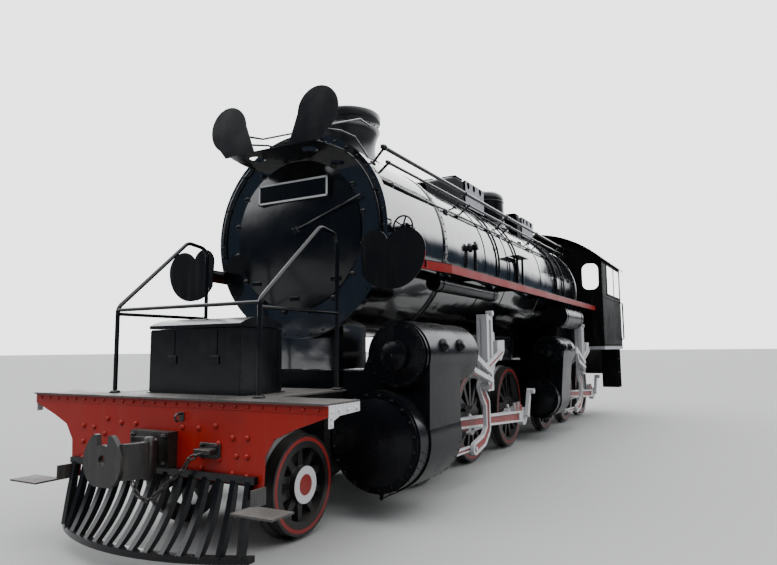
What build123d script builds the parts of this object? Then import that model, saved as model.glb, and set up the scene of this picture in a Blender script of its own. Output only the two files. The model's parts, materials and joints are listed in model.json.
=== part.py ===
from build123d import *
import os
from math import cos, radians, sin, sqrt

# A narrow gauge articulated steam locomotive, 2-6-6-0, in millimetres.
# X runs forward, Y to the left side, Z up from the bottoms of the wheel flanges.
os.makedirs("parts", exist_ok=True)

# Wheels and axles
WHEEL_BACK = 500
TYRE_WIDTH = 140
FLANGE_DEPTH = 27
FLANGE_WIDTH = 30
DRIVER_TREAD = 553
PONY_TREAD = 370
TYRE_DEPTH = 62
RIM_DEPTH = 40
AXLE_R = 85
PONY_AXLE_R = 65
HUB_R = 125
PONY_HUB_R = 136
HUB_PROUD = 12
SPOKES = 13
PONY_SPOKES = 10
SPOKE_HUB_W = 62
SPOKE_RIM_W = 44
SPOKE_DEPTH = 60
SEAT_GAP = 0.5
DRIVER_Z = DRIVER_TREAD + FLANGE_DEPTH
PONY_Z = PONY_TREAD + FLANGE_DEPTH
WHEEL_FACE = WHEEL_BACK + TYRE_WIDTH

# Cranks and rods
CRANK = 305
CRANK_ANGLE = -20
QUARTER = 90
CRANK_BOSS_R = 98
CRANK_PIN_R = 46
PIN_GAP = 1.5
COUPLING_ROD_Y = 665
COUPLING_ROD_T = 72
COUPLING_ROD_H = 112
COUPLING_EYE_R = 96
MOTION_Y = 900
MAIN_ROD_T = 80
MAIN_ROD_L = 2900
MAIN_EYE_R = 118
SMALL_EYE_R = 88
CROSSHEAD_PIN_R = 40
CROSSHEAD_L = 300
CROSSHEAD_H = 240
CROSSHEAD_T = 170
STROKE_GAP = 95
BAR_T = 48
BAR_W = 110
BAR_L = 1010
SLIDE_GAP = 2
PISTON_ROD_R = 38
RETURN_CRANK_T = 46
RETURN_CRANK_R = 275
RETURN_CRANK_LEAD = 75

# Places along the engine
PONY_PIN_X = 3750
PONY_PIN_R = 40
BEAM_X = 5750
PONY_X = 4935
MAIN_AXLE_X = 40
AXLE_STEP = 1420
REAR_UNIT_SHIFT = 4800
PIVOT_X = -470
CAB_FRONT_X = -3430
CAB_REAR_X = -5600
DRAG_X = -5900
DRAG_T = 50
EYE_R = 90
EYE_BORE_R = 38
DRAWBAR_END_X = -6190
COUPLER_NOSE_X = 6190

# Frames
FRAME_Y = 400
FRAME_T = 60
FRAME_TOP = 1060
FRAME_BOTTOM = 370
AXLE_BOX_W = 230
AXLE_BOX_Y = 386
AXLE_BOX_T = 100
AXLE_BORE_GAP = 2
FRONT_RAIL_BOTTOM = 850
STRETCHER_HALF = 40
FRONT_STRETCHERS = (
    (5600, FRONT_RAIL_BOTTOM, FRAME_TOP),
    (4900, 960, FRAME_TOP),
    (3430, 700, 930),
    (2170, 500, 930),
    (750, 500, 930),
    (-140, 500, 930),
)
REAR_STRETCHERS = (
    (-620, 500, 760),
    (-2570, 500, 740),
    (-3990, 500, 740),
    (-5300, 700, FRAME_TOP),
)

# Cylinders
CYL_Z = 645
FRONT_CYL_R = 427
FRONT_CYL_LENGTH = 840
FRONT_CYL_VALVE_R = 290
FRONT_CYL_VALVE_Y = 1045
VALVE_Z = 1345
FRONT_CYL_VALVE_FRONT_X = 4200
FRONT_CYL_VALVE_LENGTH = 1150
REAR_CYL_R = 300
REAR_CYL_LENGTH = 740
REAR_CYL_VALVE_R = 235
REAR_CYL_VALVE_Y = 1020
REAR_CYL_VALVE_FRONT_X = -700
REAR_CYL_VALVE_LENGTH = 860
PIPE_Z = 1090
PIPE_R = 110
SADDLE_TOP = 1210
COVER_T = 26
FRONT_COVER_R = 401
REAR_COVER_R = MOTION_Y - WHEEL_FACE - 8

# Valve gear
LINK_X = 2300
GEAR_Y = 1060
BRACKET_DEPTH = 120
BRACKET_TOP = 1765
BRACKET_FOOT = 940
LINK_R = 1100
LINK_H = 430
ARM_T = 36
FLUTE_DEPTH = 9

# Chimney, dome and sandboxes
MOUNT_FOOT = 3200
CHIMNEY_X = 3322
CHIMNEY_BORE_R = 240
CHIMNEY_RIM_R = 350
CHIMNEY_TOP = 3891
DOME_X = -930
DOME_R = 305
DOME_TOP = 3995
CAP_REACH = 235
CAP_DEPTH = 46
SANDBOX_NOSE_X = 1980
SANDBOX_FRONT_X = 985
SANDBOX_REAR_X = 700
SANDBOX_TOP = 3775
SANDBOX_HALF = 288
REAR_SANDBOX_FRONT_X = -1690
REAR_SANDBOX_L = 310
REAR_SANDBOX_TOP = 3745
CASING_FOOT = 3400
VALVE_CASINGS = ((-40, 700, 3777), (-2700, -2000, 3740))
VISOR_FRONT_X = 4610
VISOR_Z = 3176
VISOR_T = 8
EAR_R = 212
EAR_Y = 505
EAR_Z = 3445
VISOR_HOLE = (4425, 300, 75)

# Boiler
BOILER_Z = 2464
BOILER_R = 900
SMOKEBOX_R = 930
SMOKEBOX_RING_R = 963
WHEEL_X = 4080
WHEEL_Y = 1050
WHEEL_Z = 2459
WHEEL_R = 92
SMOKEBOX_FRONT_X = 4185
SMOKEBOX_REAR_X = 2832
DOOR_R = 700
DOOR_DISH = 95
BARREL_REAR_X = -2050
BACKHEAD_X = -3900
FIREBOX_HALF = 800
FIREBOX_BOTTOM = 1225
BAND_X = (1583, 724, -909, -1800)
BAND_W = 60
BAND_T = 7
PLATE_HALF = 400
PLATE_H = 195
PLATE_Z = 2867

# Running boards
BOARD_TOP = 2181
BOARD_T = 12
BOARD_HALF = 1249
VALANCE_H = 88
VALANCE_T = 14
BOARD_REAR_X = -3400
BOARD_BEND_X = 3483
BOARD_FRONT_X = 4420
BOARD_FRONT_HALF = 1080
STAND_X = 435
STAND_Z = 2652
HANDRAIL_FRONT_X = 3930
HANDRAILS = ((770, 3262, 20), (815, 3110, 14))
POST_X = (3900, 1900, 350, -1200, -2750)
POST_R = 12
RESERVOIRS = ((-2350, -1150, 1050, 1900, 185), (1900, 3540, 1080, 2010, 75))
WING_T = 10

# Front end
PLATFORM_TOP = 1079
PLATFORM_T = 12
PLATFORM_HALF = 1407
PLATFORM_DEPTH = 360
DECK_HALF = 770
DECK_REAR_X = 4560
BEAM_T = 18
POCKET_DEPTH = 80
COUPLER_FACE_T = 34
RAIL_R = 17
RAIL_Y = 720
RAIL_FRONT_X = 5555
RAIL_REAR_X = 4618
RAIL_KNEE_X = 4850
RAIL_TOP = 2360
RAIL_KNEE_Z = 1740
RAIL_LOW_Z = 1690
RAIL_CROSS_Z = 1720
STEP_TREAD = (5830, 6030, 925, 1230)
STEP_Z = 455
STEP_T = 12

# Cab
CAB_HALF = 1385
CAB_PLATE = 10
CAB_FLOOR_Z = 1420
EAVE_Z = 3082
ROOF_APEX_Z = 3650
ROOF_T = 10
ROOF_OVERHANG = 49
ROOF_GAP = 0.5
ROOF_FRONT_X = -3330
ROOF_REAR_X = -5815
WAIST_Z = 2441
WINDOW_TOP_Z = 3015
SPECTACLE_W = 300
SPECTACLE_H = 500
SPECTACLE_EDGE = 65

front_axles = [MAIN_AXLE_X + 2 * AXLE_STEP, MAIN_AXLE_X + AXLE_STEP, MAIN_AXLE_X]
rear_axles = [x - REAR_UNIT_SHIFT for x in front_axles]
crank_angle = {1: CRANK_ANGLE, -1: CRANK_ANGLE + QUARTER}
FRONT_BACK_X = MAIN_AXLE_X + CRANK + MAIN_ROD_L + CROSSHEAD_L / 2 + STROKE_GAP
FRONT_CYL_FRONT_X = FRONT_BACK_X + FRONT_CYL_LENGTH
REAR_BACK_X = FRONT_BACK_X - REAR_UNIT_SHIFT
REAR_FRONT_X = REAR_BACK_X + REAR_CYL_LENGTH


def side_plane(y, x=0, z=0):
    """A plane facing the right side, its own x and y along X and Z."""
    return Plane(origin=(x, y, z), x_dir=(1, 0, 0), z_dir=(0, -1, 0))


def front_plane(x, y=0, z=0):
    """A plane facing forward, its own x and y along Y and Z."""
    return Plane(origin=(x, y, z), x_dir=(0, 1, 0), z_dir=(1, 0, 0))


def block(x0, x1, y0, y1, z0, z1, mode=Mode.ADD):
    """A box between two corners."""
    with Locations(((x0 + x1) / 2, (y0 + y1) / 2, (z0 + z1) / 2)):
        Box(abs(x1 - x0), abs(y1 - y0), abs(z1 - z0), mode=mode)


def round_x(x0, x1, y, z, r, mode=Mode.ADD):
    """A round bar along X."""
    with Locations(Location(((x0 + x1) / 2, y, z), (0, 90, 0))):
        Cylinder(r, abs(x1 - x0), mode=mode)


def round_y(y0, y1, x, z, r, mode=Mode.ADD):
    """A round bar along Y."""
    with Locations(Location((x, (y0 + y1) / 2, z), (90, 0, 0))):
        Cylinder(r, abs(y1 - y0), mode=mode)


def round_z(z0, z1, x, y, r, mode=Mode.ADD):
    """A round bar along Z."""
    with Locations(Location((x, y, (z0 + z1) / 2))):
        Cylinder(r, abs(z1 - z0), mode=mode)


def side_plate(points, y0, y1, mode=Mode.ADD):
    """A plate of straight edges, drawn from the side and thick along Y."""
    with BuildSketch(side_plane(max(y0, y1))) as outline:
        with BuildLine():
            Polyline(*points, close=True)
        make_face()
    extrude(outline.sketch, amount=abs(y1 - y0), mode=mode)


def front_plate(points, x0, x1, mode=Mode.ADD):
    """A plate of straight edges, drawn from the front and thick along X."""
    with BuildSketch(front_plane(min(x0, x1))) as outline:
        with BuildLine():
            Polyline(*points, close=True)
        make_face()
    extrude(outline.sketch, amount=abs(x1 - x0), mode=mode)


def top_plate(points, z0, z1, mode=Mode.ADD):
    """A plate of straight edges, drawn from above and thick along Z."""
    with BuildSketch(Plane.XY.offset(min(z0, z1))) as outline:
        with BuildLine():
            Polyline(*points, close=True)
        make_face()
    extrude(outline.sketch, amount=abs(z1 - z0), mode=mode)


def tube(points, r, bend):
    """A round tube along straight runs joined by bends."""
    with BuildLine() as path:
        FilletPolyline(*points, radius=bend)
    with BuildSketch(Plane(origin=path.line @ 0, z_dir=path.line % 0)) as section:
        Circle(r)
    sweep(section.sketch, path=path.line)


def taper(p, q, half_p, half_q):
    """Corners of a bar from p to q, with its half widths at the ends."""
    dx = q[0] - p[0]
    dz = q[1] - p[1]
    length = sqrt(dx * dx + dz * dz)
    nx = -dz / length
    nz = dx / length
    return [
        (p[0] + nx * half_p, p[1] + nz * half_p),
        (q[0] + nx * half_q, q[1] + nz * half_q),
        (q[0] - nx * half_q, q[1] - nz * half_q),
        (p[0] - nx * half_p, p[1] - nz * half_p),
    ]


def bent_bar(points, half):
    """Straight runs of a flat bar with round joints, added to the open sketch."""
    for p, q in zip(points, points[1:]):
        Polygon(*taper(p, q, half, half), align=None)
    for p in points:
        with Locations(p):
            Circle(half)


def side_bar(points, half, y0, y1, flute=0):
    """A bent flat bar drawn from the side, with a flute of its own in the face at y1."""
    with BuildSketch(side_plane(max(y0, y1))) as outline:
        bent_bar(points, half)
    extrude(outline.sketch, amount=abs(y1 - y0))
    if flute:
        way = 1 if y1 > y0 else -1
        y_floor = y1 - way * FLUTE_DEPTH
        with BuildSketch(side_plane(max(y_floor, y1 + way))) as groove:
            bent_bar(points, flute)
        extrude(groove.sketch, amount=FLUTE_DEPTH + 1, mode=Mode.SUBTRACT)


def arc_height(y, half, eave, apex):
    """How high an arc stands at y, from its apex down to eaves at its half width."""
    rise = apex - eave
    r = (half * half + rise * rise) / (2 * rise)
    return apex - r + sqrt(r * r - y * y)


def dished_cover(x, y, z, r, rim, dish):
    """A round cover facing forward: a flat rim and a dished middle."""
    reach = r * 0.88
    with BuildSketch(side_plane(y)) as section:
        with BuildLine():
            Polyline((x, z), (x, z + r), (x + rim, z + r), (x + rim, z + reach))
            ThreePointArc(
                (x + rim, z + reach),
                (x + rim + arc_height(reach / 2, reach, 0, dish), z + reach / 2),
                (x + rim + dish, z),
            )
            Line((x + rim + dish, z), (x, z))
        make_face()
    revolve(section.sketch, axis=Axis((x, y, z), (1, 0, 0)))


def finish(part, name):
    """Names a finished piece and writes it out."""
    part.part.label = name
    export_step(part.part, f"parts/{name}.step")


def wheel_rim(x, z, tread, side):
    """Tyre with its flange and the rim inside it, turned about the axle."""
    flange = tread + FLANGE_DEPTH
    inner = tread - TYRE_DEPTH - RIM_DEPTH
    section = [
        (WHEEL_BACK, inner),
        (WHEEL_BACK, flange - 8),
        (WHEEL_BACK + 8, flange),
        (WHEEL_BACK + FLANGE_WIDTH - 8, flange),
        (WHEEL_BACK + FLANGE_WIDTH + 8, tread),
        (WHEEL_FACE, tread - 4),
        (WHEEL_FACE, inner),
    ]
    with BuildSketch(front_plane(x, 0, z)) as profile:
        with BuildLine():
            Polyline(*[(side * y, r) for y, r in section], close=True)
        make_face()
    revolve(profile.sketch, axis=Axis((x, 0, z), (0, 1, 0)))


def wheel_spokes(x, z, side, count, hub_r, rim_r):
    """Tapered spokes between hub and rim."""
    middle = WHEEL_BACK + TYRE_WIDTH / 2
    y_high = max(side * (middle - SPOKE_DEPTH / 2), side * (middle + SPOKE_DEPTH / 2))
    with BuildSketch(side_plane(y_high, x, z)) as spokes:
        with PolarLocations(0, count, start_angle=90):
            Polygon(
                (hub_r - 20, -SPOKE_HUB_W / 2),
                (rim_r + 6, -SPOKE_RIM_W / 2),
                (rim_r + 6, SPOKE_RIM_W / 2),
                (hub_r - 20, SPOKE_HUB_W / 2),
                align=None,
            )
    extrude(spokes.sketch, amount=SPOKE_DEPTH)


def balance_weight(x, z, side, angle, rim_r, chord):
    """The segment cast in the rim opposite the crank pin."""
    y0 = side * (WHEEL_BACK + 20)
    y1 = side * (WHEEL_FACE - 14)
    reach = (chord + rim_r + 60) / 2
    with BuildSketch(side_plane(max(y0, y1), x, z)) as segment:
        Circle(rim_r + 6)
        with Locations((reach * cos(radians(angle)), reach * sin(radians(angle)))):
            Rectangle(
                rim_r + 60 - chord, 2 * rim_r, rotation=angle, mode=Mode.INTERSECT
            )
    extrude(segment.sketch, amount=abs(y1 - y0))


def driver_axle(x, chord):
    """An axle with two spoked driving wheels and their crank pins."""
    rim_r = DRIVER_TREAD - TYRE_DEPTH - RIM_DEPTH
    with BuildPart() as axle:
        seat = WHEEL_BACK - 6 - SEAT_GAP
        round_y(-seat, seat, x, DRIVER_Z, AXLE_R)
        for side in (1, -1):
            angle = crank_angle[side]
            pin_x = CRANK * cos(radians(angle))
            pin_z = CRANK * sin(radians(angle))
            wheel_rim(x, DRIVER_Z, DRIVER_TREAD, side)
            round_y(
                side * (WHEEL_BACK - 6),
                side * (WHEEL_FACE + HUB_PROUD),
                x,
                DRIVER_Z,
                HUB_R,
            )
            wheel_spokes(x, DRIVER_Z, side, SPOKES, HUB_R, rim_r)
            balance_weight(x, DRIVER_Z, side, angle + 180, rim_r, chord)
            y0 = side * (WHEEL_BACK + 30)
            y1 = side * (WHEEL_FACE + HUB_PROUD)
            with BuildSketch(side_plane(max(y0, y1), x, DRIVER_Z)):
                with Locations((pin_x, pin_z)):
                    Circle(CRANK_BOSS_R)
                Polygon(
                    *taper((0, 0), (pin_x, pin_z), HUB_R - 10, CRANK_BOSS_R - 8),
                    align=None,
                )
            extrude(amount=abs(y1 - y0))
            round_y(
                side * (WHEEL_FACE - 20),
                side * (COUPLING_ROD_Y + COUPLING_ROD_T + 6),
                x + pin_x,
                DRIVER_Z + pin_z,
                CRANK_PIN_R,
            )
    return axle


def coupling_rod(axles, side):
    """A fluted rod over the crank pins of three axles on one side."""
    pin_x = CRANK * cos(radians(crank_angle[side]))
    pin_z = DRIVER_Z + CRANK * sin(radians(crank_angle[side]))
    y0 = side * COUPLING_ROD_Y
    y1 = side * (COUPLING_ROD_Y + COUPLING_ROD_T)
    with BuildPart() as rod:
        with BuildSketch(side_plane(max(y0, y1))):
            middle = (axles[0] + axles[-1]) / 2 + pin_x
            with Locations((middle, pin_z)):
                Rectangle(axles[0] - axles[-1], COUPLING_ROD_H)
            for x in axles:
                with Locations((x + pin_x, pin_z)):
                    Circle(COUPLING_EYE_R)
            for x in axles:
                with Locations((x + pin_x, pin_z)):
                    Circle(CRANK_PIN_R + PIN_GAP, mode=Mode.SUBTRACT)
        extrude(amount=COUPLING_ROD_T)
        flute_y = side * (COUPLING_ROD_Y + COUPLING_ROD_T)
        for x in axles[1:]:
            with Locations((x + AXLE_STEP / 2 + pin_x, flute_y, pin_z)):
                Box(
                    AXLE_STEP - 2 * COUPLING_EYE_R - 60,
                    36,
                    COUPLING_ROD_H - 44,
                    mode=Mode.SUBTRACT,
                )
    return rod


def crosshead_place(axle_x, side):
    """Where the crosshead pin and the big end stand on one side."""
    angle = crank_angle[side]
    big = (
        axle_x + CRANK * cos(radians(angle)),
        DRIVER_Z + CRANK * sin(radians(angle)),
    )
    rise = CYL_Z - big[1]
    small = (big[0] + sqrt(MAIN_ROD_L**2 - rise**2), CYL_Z)
    return big, small


def main_rods(axle_x, cylinder_back_x):
    """Main rods, crossheads and piston rods of both sides of one unit."""
    with BuildPart() as rods:
        for side in (1, -1):
            big, small = crosshead_place(axle_x, side)
            half = MAIN_ROD_T / 2
            y0 = side * (MOTION_Y - half)
            y1 = side * (MOTION_Y + half)
            with BuildSketch(side_plane(max(y0, y1))):
                Polygon(*taper(big, small, 72, 52), align=None)
                with Locations(big):
                    Circle(MAIN_EYE_R)
                with Locations(small):
                    Circle(SMALL_EYE_R)
            extrude(amount=MAIN_ROD_T)
            flute = [
                (
                    big[0] + (small[0] - big[0]) * share,
                    big[1] + (small[1] - big[1]) * share,
                )
                for share in (0.075, 0.94)
            ]
            side_plate(
                taper(flute[0], flute[1], 46, 30),
                side * (MOTION_Y + half - 18),
                side * (MOTION_Y + half + 10),
                mode=Mode.SUBTRACT,
            )
            round_y(
                side * (COUPLING_ROD_Y + COUPLING_ROD_T + 14),
                side * (MOTION_Y + half + 8),
                big[0],
                big[1],
                CRANK_PIN_R,
            )
            for grow, x in ((60, 130), (44, 300)):
                block(
                    big[0] + x - grow,
                    big[0] + x + grow,
                    y0 - side * 5,
                    y1 - side * 12,
                    big[1] + 40,
                    big[1] + 150,
                )
                round_z(big[1] + 140, big[1] + 195, big[0] + x, side * MOTION_Y, 26)
            head_half = CROSSHEAD_L / 2
            with Locations((small[0], side * MOTION_Y, CYL_Z)):
                Box(CROSSHEAD_L, CROSSHEAD_T, CROSSHEAD_H)
            round_x(
                small[0] + head_half - 10,
                cylinder_back_x - 60,
                side * MOTION_Y,
                CYL_Z,
                PISTON_ROD_R,
            )
    return rods


def egg_outline(cyl_y, cyl_r, valve_y, valve_r):
    """Cylinder and valve chest circles with the flat sides that join them."""
    with Locations((cyl_y, CYL_Z)):
        Circle(cyl_r)
    with Locations((valve_y, VALVE_Z)):
        Circle(valve_r)
    Polygon(
        *taper((cyl_y, CYL_Z), (valve_y, VALVE_Z), cyl_r * 0.985, valve_r * 0.985),
        align=None,
    )


def cylinder_pair(
    front_x, length, r, cover_r, valve_y, valve_r, valve_front, valve_length, pipe_stub
):
    """Both cylinders of one unit with their chests, covers and slide bars."""
    back_x = front_x - length
    valve_back = valve_front - valve_length
    jacket_front = min(front_x, valve_front) - 40
    jacket_back = max(back_x, valve_back) + 20
    with BuildPart() as pair:
        with BuildSketch(front_plane(jacket_back)):
            egg_outline(MOTION_Y, r, valve_y, valve_r)
        extrude(amount=jacket_front - jacket_back)
        round_x(back_x, front_x, MOTION_Y, CYL_Z, r - 14)
        round_x(valve_back, valve_front, valve_y, VALVE_Z, valve_r - 10)
        dished_cover(valve_front, valve_y, VALVE_Z, valve_r - 22, COVER_T, 12)
        dished_cover(valve_front + COVER_T, valve_y, VALVE_Z, valve_r * 0.44, 62, 22)
        dished_cover(front_x, MOTION_Y, CYL_Z, cover_r, COVER_T, r * 0.14)
        round_x(back_x - COVER_T, back_x, MOTION_Y, CYL_Z, r * 0.62)
        round_x(back_x - 60, back_x, MOTION_Y, CYL_Z, 75)
        for up in (1, -1):
            z = CYL_Z + up * (CROSSHEAD_H / 2 + SLIDE_GAP + BAR_T / 2)
            with Locations((back_x - BAR_L / 2 + 10, MOTION_Y, z)):
                Box(BAR_L, BAR_W, BAR_T)
        block(
            jacket_back + 30,
            jacket_front - 30,
            FRAME_Y + FRAME_T,
            MOTION_Y,
            CYL_Z - 160,
            SADDLE_TOP,
        )
        mirror(about=Plane.XZ)
        block(
            jacket_back + 30,
            jacket_front - 30,
            -FRAME_Y,
            FRAME_Y,
            CYL_Z - 140,
            SADDLE_TOP,
        )
        if pipe_stub:
            round_x(jacket_front - 40, PIVOT_X - PIPE_R - 35, 0, PIPE_Z, PIPE_R)
    return pair


def frame_side(x0, x1, axles):
    """One pair of frame plates with axle boxes, drawn on the left and mirrored."""
    block(x0, x1, FRAME_Y, FRAME_Y + FRAME_T, FRAME_BOTTOM, FRAME_TOP)
    for x in axles:
        block(
            x - AXLE_BOX_W / 2,
            x + AXLE_BOX_W / 2,
            AXLE_BOX_Y,
            AXLE_BOX_Y + AXLE_BOX_T,
            DRIVER_Z - 150,
            DRIVER_Z + 160,
        )
    for a, b in zip(axles, axles[1:]):
        middle = (a + b) / 2
        with BuildSketch(side_plane(FRAME_Y + FRAME_T + 20, middle, 760)) as window:
            RectangleRounded(720, 330, 120)
        extrude(window.sketch, amount=FRAME_T + 40, mode=Mode.SUBTRACT)
    mirror(about=Plane.XZ)


def valve_gear(axle_x, shift, valve_back, valve_y):
    """Outside valve gear of both sides, standing still on its unit."""
    with BuildPart() as gear:
        for side in (1, -1):
            big, small = crosshead_place(axle_x, side)
            lead = crank_angle[side] + RETURN_CRANK_LEAD
            tip = (
                axle_x + RETURN_CRANK_R * cos(radians(lead)),
                DRIVER_Z + RETURN_CRANK_R * sin(radians(lead)),
            )
            half = MOTION_Y + MAIN_ROD_T / 2
            side_plate(
                taper(big, tip, 50, 32),
                side * (half + 10),
                side * (half + 10 + RETURN_CRANK_T),
            )
            round_y(side * (half + 10), side * (half + 110), tip[0], tip[1], 36)
            link_x = LINK_X + shift
            inner = side * GEAR_Y
            outer = side * (GEAR_Y + BRACKET_DEPTH)
            arm = side * (GEAR_Y + BRACKET_DEPTH + 5)
            block(link_x + 30, link_x + 90, inner, outer, BRACKET_FOOT, BRACKET_TOP)
            block(
                link_x + 78,
                link_x + 91,
                side * (GEAR_Y + 28),
                side * (GEAR_Y + 52),
                BRACKET_FOOT + 60,
                BRACKET_TOP - 50,
                Mode.SUBTRACT,
            )
            block(
                link_x - 90,
                link_x - 40,
                side * (GEAR_Y + 70),
                outer,
                BRACKET_FOOT,
                BRACKET_TOP + 25,
            )
            for z in (BRACKET_FOOT, BRACKET_TOP - 60):
                block(link_x - 60, link_x + 60, side * (GEAR_Y + 70), outer, z, z + 45)
            round_y(side * (GEAR_Y + 60), outer + side * 16, link_x - 65, BRACKET_TOP + 15, 30)
            front_plate(
                [
                    (side * FRAME_Y, FRAME_TOP),
                    (side * FRAME_Y, FRAME_TOP + 130),
                    (side * (GEAR_Y - 130), FRAME_TOP + 130),
                    (side * GEAR_Y, FRAME_TOP + 260),
                    (side * (GEAR_Y + 80), FRAME_TOP + 260),
                    (side * (GEAR_Y + 80), FRAME_TOP + 190),
                    (side * (GEAR_Y - 100), FRAME_TOP + 30),
                    (side * (GEAR_Y - 360), FRAME_TOP),
                ],
                link_x + 30,
                link_x + 54,
            )
            pivot = (link_x - 330, VALVE_Z + 20)
            link_centre = (pivot[0] + LINK_R, pivot[1])
            with BuildSketch(side_plane(max(inner, inner + side * 45))) as link:
                with Locations(link_centre):
                    Circle(LINK_R + 38)
                    Circle(LINK_R - 38, mode=Mode.SUBTRACT)
                with Locations(pivot):
                    Rectangle(260, LINK_H, mode=Mode.INTERSECT)
            extrude(link.sketch, amount=45)
            round_y(inner - side * 30, side * (GEAR_Y + 100), pivot[0], pivot[1], 34)
            side_plate(
                [
                    (pivot[0] + 90, VALVE_Z - 45),
                    (pivot[0] + 85, VALVE_Z + 135),
                    (pivot[0] - 150, VALVE_Z + 145),
                    (pivot[0] - 145, VALVE_Z + 25),
                    (pivot[0] - 30, VALVE_Z - 87),
                ],
                side * (GEAR_Y + 60),
                outer,
            )
            side_bar(
                [(pivot[0] + 30, VALVE_Z + 10), (link_x + 190, VALVE_Z - 155)],
                34,
                arm,
                arm + side * ARM_T,
                14,
            )
            side_bar(
                [
                    (link_x + 700, VALVE_Z + 45),
                    (link_x + 190, VALVE_Z - 155),
                    (link_x + 60, VALVE_Z - 200),
                ],
                26,
                arm,
                arm + side * ARM_T,
            )
            side_bar(
                [
                    (link_x + 700, VALVE_Z + 45),
                    (link_x + 560, VALVE_Z - 165),
                    (link_x + 60, VALVE_Z - 285),
                ],
                24,
                arm,
                arm + side * ARM_T,
            )
            block(
                link_x + 650,
                link_x + 745,
                side * (valve_y - 40),
                arm + side * ARM_T,
                VALVE_Z - 45,
                VALVE_Z + 60,
            )
            round_x(link_x + 740, valve_back, side * valve_y, VALVE_Z, 26)
            side_bar(
                [
                    (link_x + 95, 990),
                    (link_x + 25, 905),
                    (link_x - 80, 800),
                    (link_x - 85, 525),
                    (link_x + 40, 420),
                    (link_x + 310, 365),
                ],
                66,
                inner + side * 10,
                inner + side * 50,
                38,
            )
            arm_foot = (small[0] - 90, 372)
            side_bar(
                [(link_x + 310, 365), arm_foot], 26, inner - side * 30, inner + side * 5, 11
            )
            side_bar(
                [(small[0] - 10, CYL_Z - 30), arm_foot],
                46,
                side * (MOTION_Y + CROSSHEAD_T / 2),
                inner - side * 31,
            )
            round_y(inner - side * 35, inner + side * 62, link_x + 310, 365, 22)
            round_y(side * (MOTION_Y + CROSSHEAD_T / 2), inner + side * 18, *arm_foot, 22)
            round_y(inner, outer + side * 30, link_x + 95, 990, 26)
    return gear


front_frame_rear = MAIN_AXLE_X - 240
with BuildPart() as front_frame:
    frame_side(front_frame_rear, FRONT_CYL_FRONT_X, front_axles)
    block(
        FRONT_CYL_FRONT_X - 10,
        BEAM_X - BEAM_T,
        FRAME_Y,
        FRAME_Y + FRAME_T,
        FRONT_RAIL_BOTTOM,
        FRAME_TOP,
    )
    mirror(about=Plane.XZ)
    for x, z0, z1 in FRONT_STRETCHERS:
        block(x - STRETCHER_HALF, x + STRETCHER_HALF, -FRAME_Y, FRAME_Y, z0, z1)
    top_plate(
        [(-180, 330), (-180, -330), (PIVOT_X, -110), (PIVOT_X, 110)], 605, 715
    )
    round_z(605, 715, PIVOT_X, 0, 110)
    round_z(590, 730, PIVOT_X, 0, 57, mode=Mode.SUBTRACT)
    block(PONY_PIN_X - 100, PONY_PIN_X + 100, -FRAME_Y, FRAME_Y, 455, 495)
    round_z(345, 460, PONY_PIN_X, 0, PONY_PIN_R)
    for x in front_axles:
        round_y(
            -AXLE_BOX_Y - AXLE_BOX_T - 5,
            AXLE_BOX_Y + AXLE_BOX_T + 5,
            x,
            DRIVER_Z,
            AXLE_R + AXLE_BORE_GAP,
            mode=Mode.SUBTRACT,
        )
finish(front_frame, "front_frame")

with BuildPart() as rear_frame:
    frame_side(DRAG_X + DRAG_T, -400, rear_axles)
    for x, z0, z1 in REAR_STRETCHERS:
        block(x - STRETCHER_HALF, x + STRETCHER_HALF, -FRAME_Y, FRAME_Y, z0, z1)
    for z0 in (560, 720):
        block(-600, -400, -200, 200, z0, z0 + 40)
    round_z(560, 790, PIVOT_X, 0, 55)
    for x in rear_axles:
        round_y(
            -AXLE_BOX_Y - AXLE_BOX_T - 5,
            AXLE_BOX_Y + AXLE_BOX_T + 5,
            x,
            DRIVER_Z,
            AXLE_R + AXLE_BORE_GAP,
            mode=Mode.SUBTRACT,
        )
finish(rear_frame, "rear_frame")

with BuildPart() as drag_beam:
    block(DRAG_X, DRAG_X + DRAG_T, -1250, 1250, 820, 1360)
    block(DRAWBAR_END_X + EYE_R, DRAG_X + 10, -60, 60, 870, 930)
    round_z(870, 930, DRAWBAR_END_X + EYE_R, 0, EYE_R)
    round_z(860, 940, DRAWBAR_END_X + EYE_R, 0, EYE_BORE_R, mode=Mode.SUBTRACT)
finish(drag_beam, "drag_beam")

for number, x in enumerate(front_axles + rear_axles, 1):
    main = x in (front_axles[-1], rear_axles[-1])
    finish(driver_axle(x, 210 if main else 300), f"driver_axle_{number}")

for unit, axles in (("front", front_axles), ("rear", rear_axles)):
    for side, hand in ((1, "left"), (-1, "right")):
        finish(coupling_rod(axles, side), f"{unit}_coupling_rod_{hand}")

with BuildPart() as pony_axle:
    seat = WHEEL_BACK - 6 - SEAT_GAP
    round_y(-seat, seat, PONY_X, PONY_Z, PONY_AXLE_R)
    for side in (1, -1):
        wheel_rim(PONY_X, PONY_Z, PONY_TREAD, side)
        round_y(
            side * (WHEEL_BACK - 6),
            side * (WHEEL_FACE + HUB_PROUD),
            PONY_X,
            PONY_Z,
            PONY_HUB_R,
        )
        rim_r = PONY_TREAD - TYRE_DEPTH - RIM_DEPTH
        wheel_spokes(PONY_X, PONY_Z, side, PONY_SPOKES, PONY_HUB_R, rim_r)
finish(pony_axle, "pony_axle")

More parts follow.
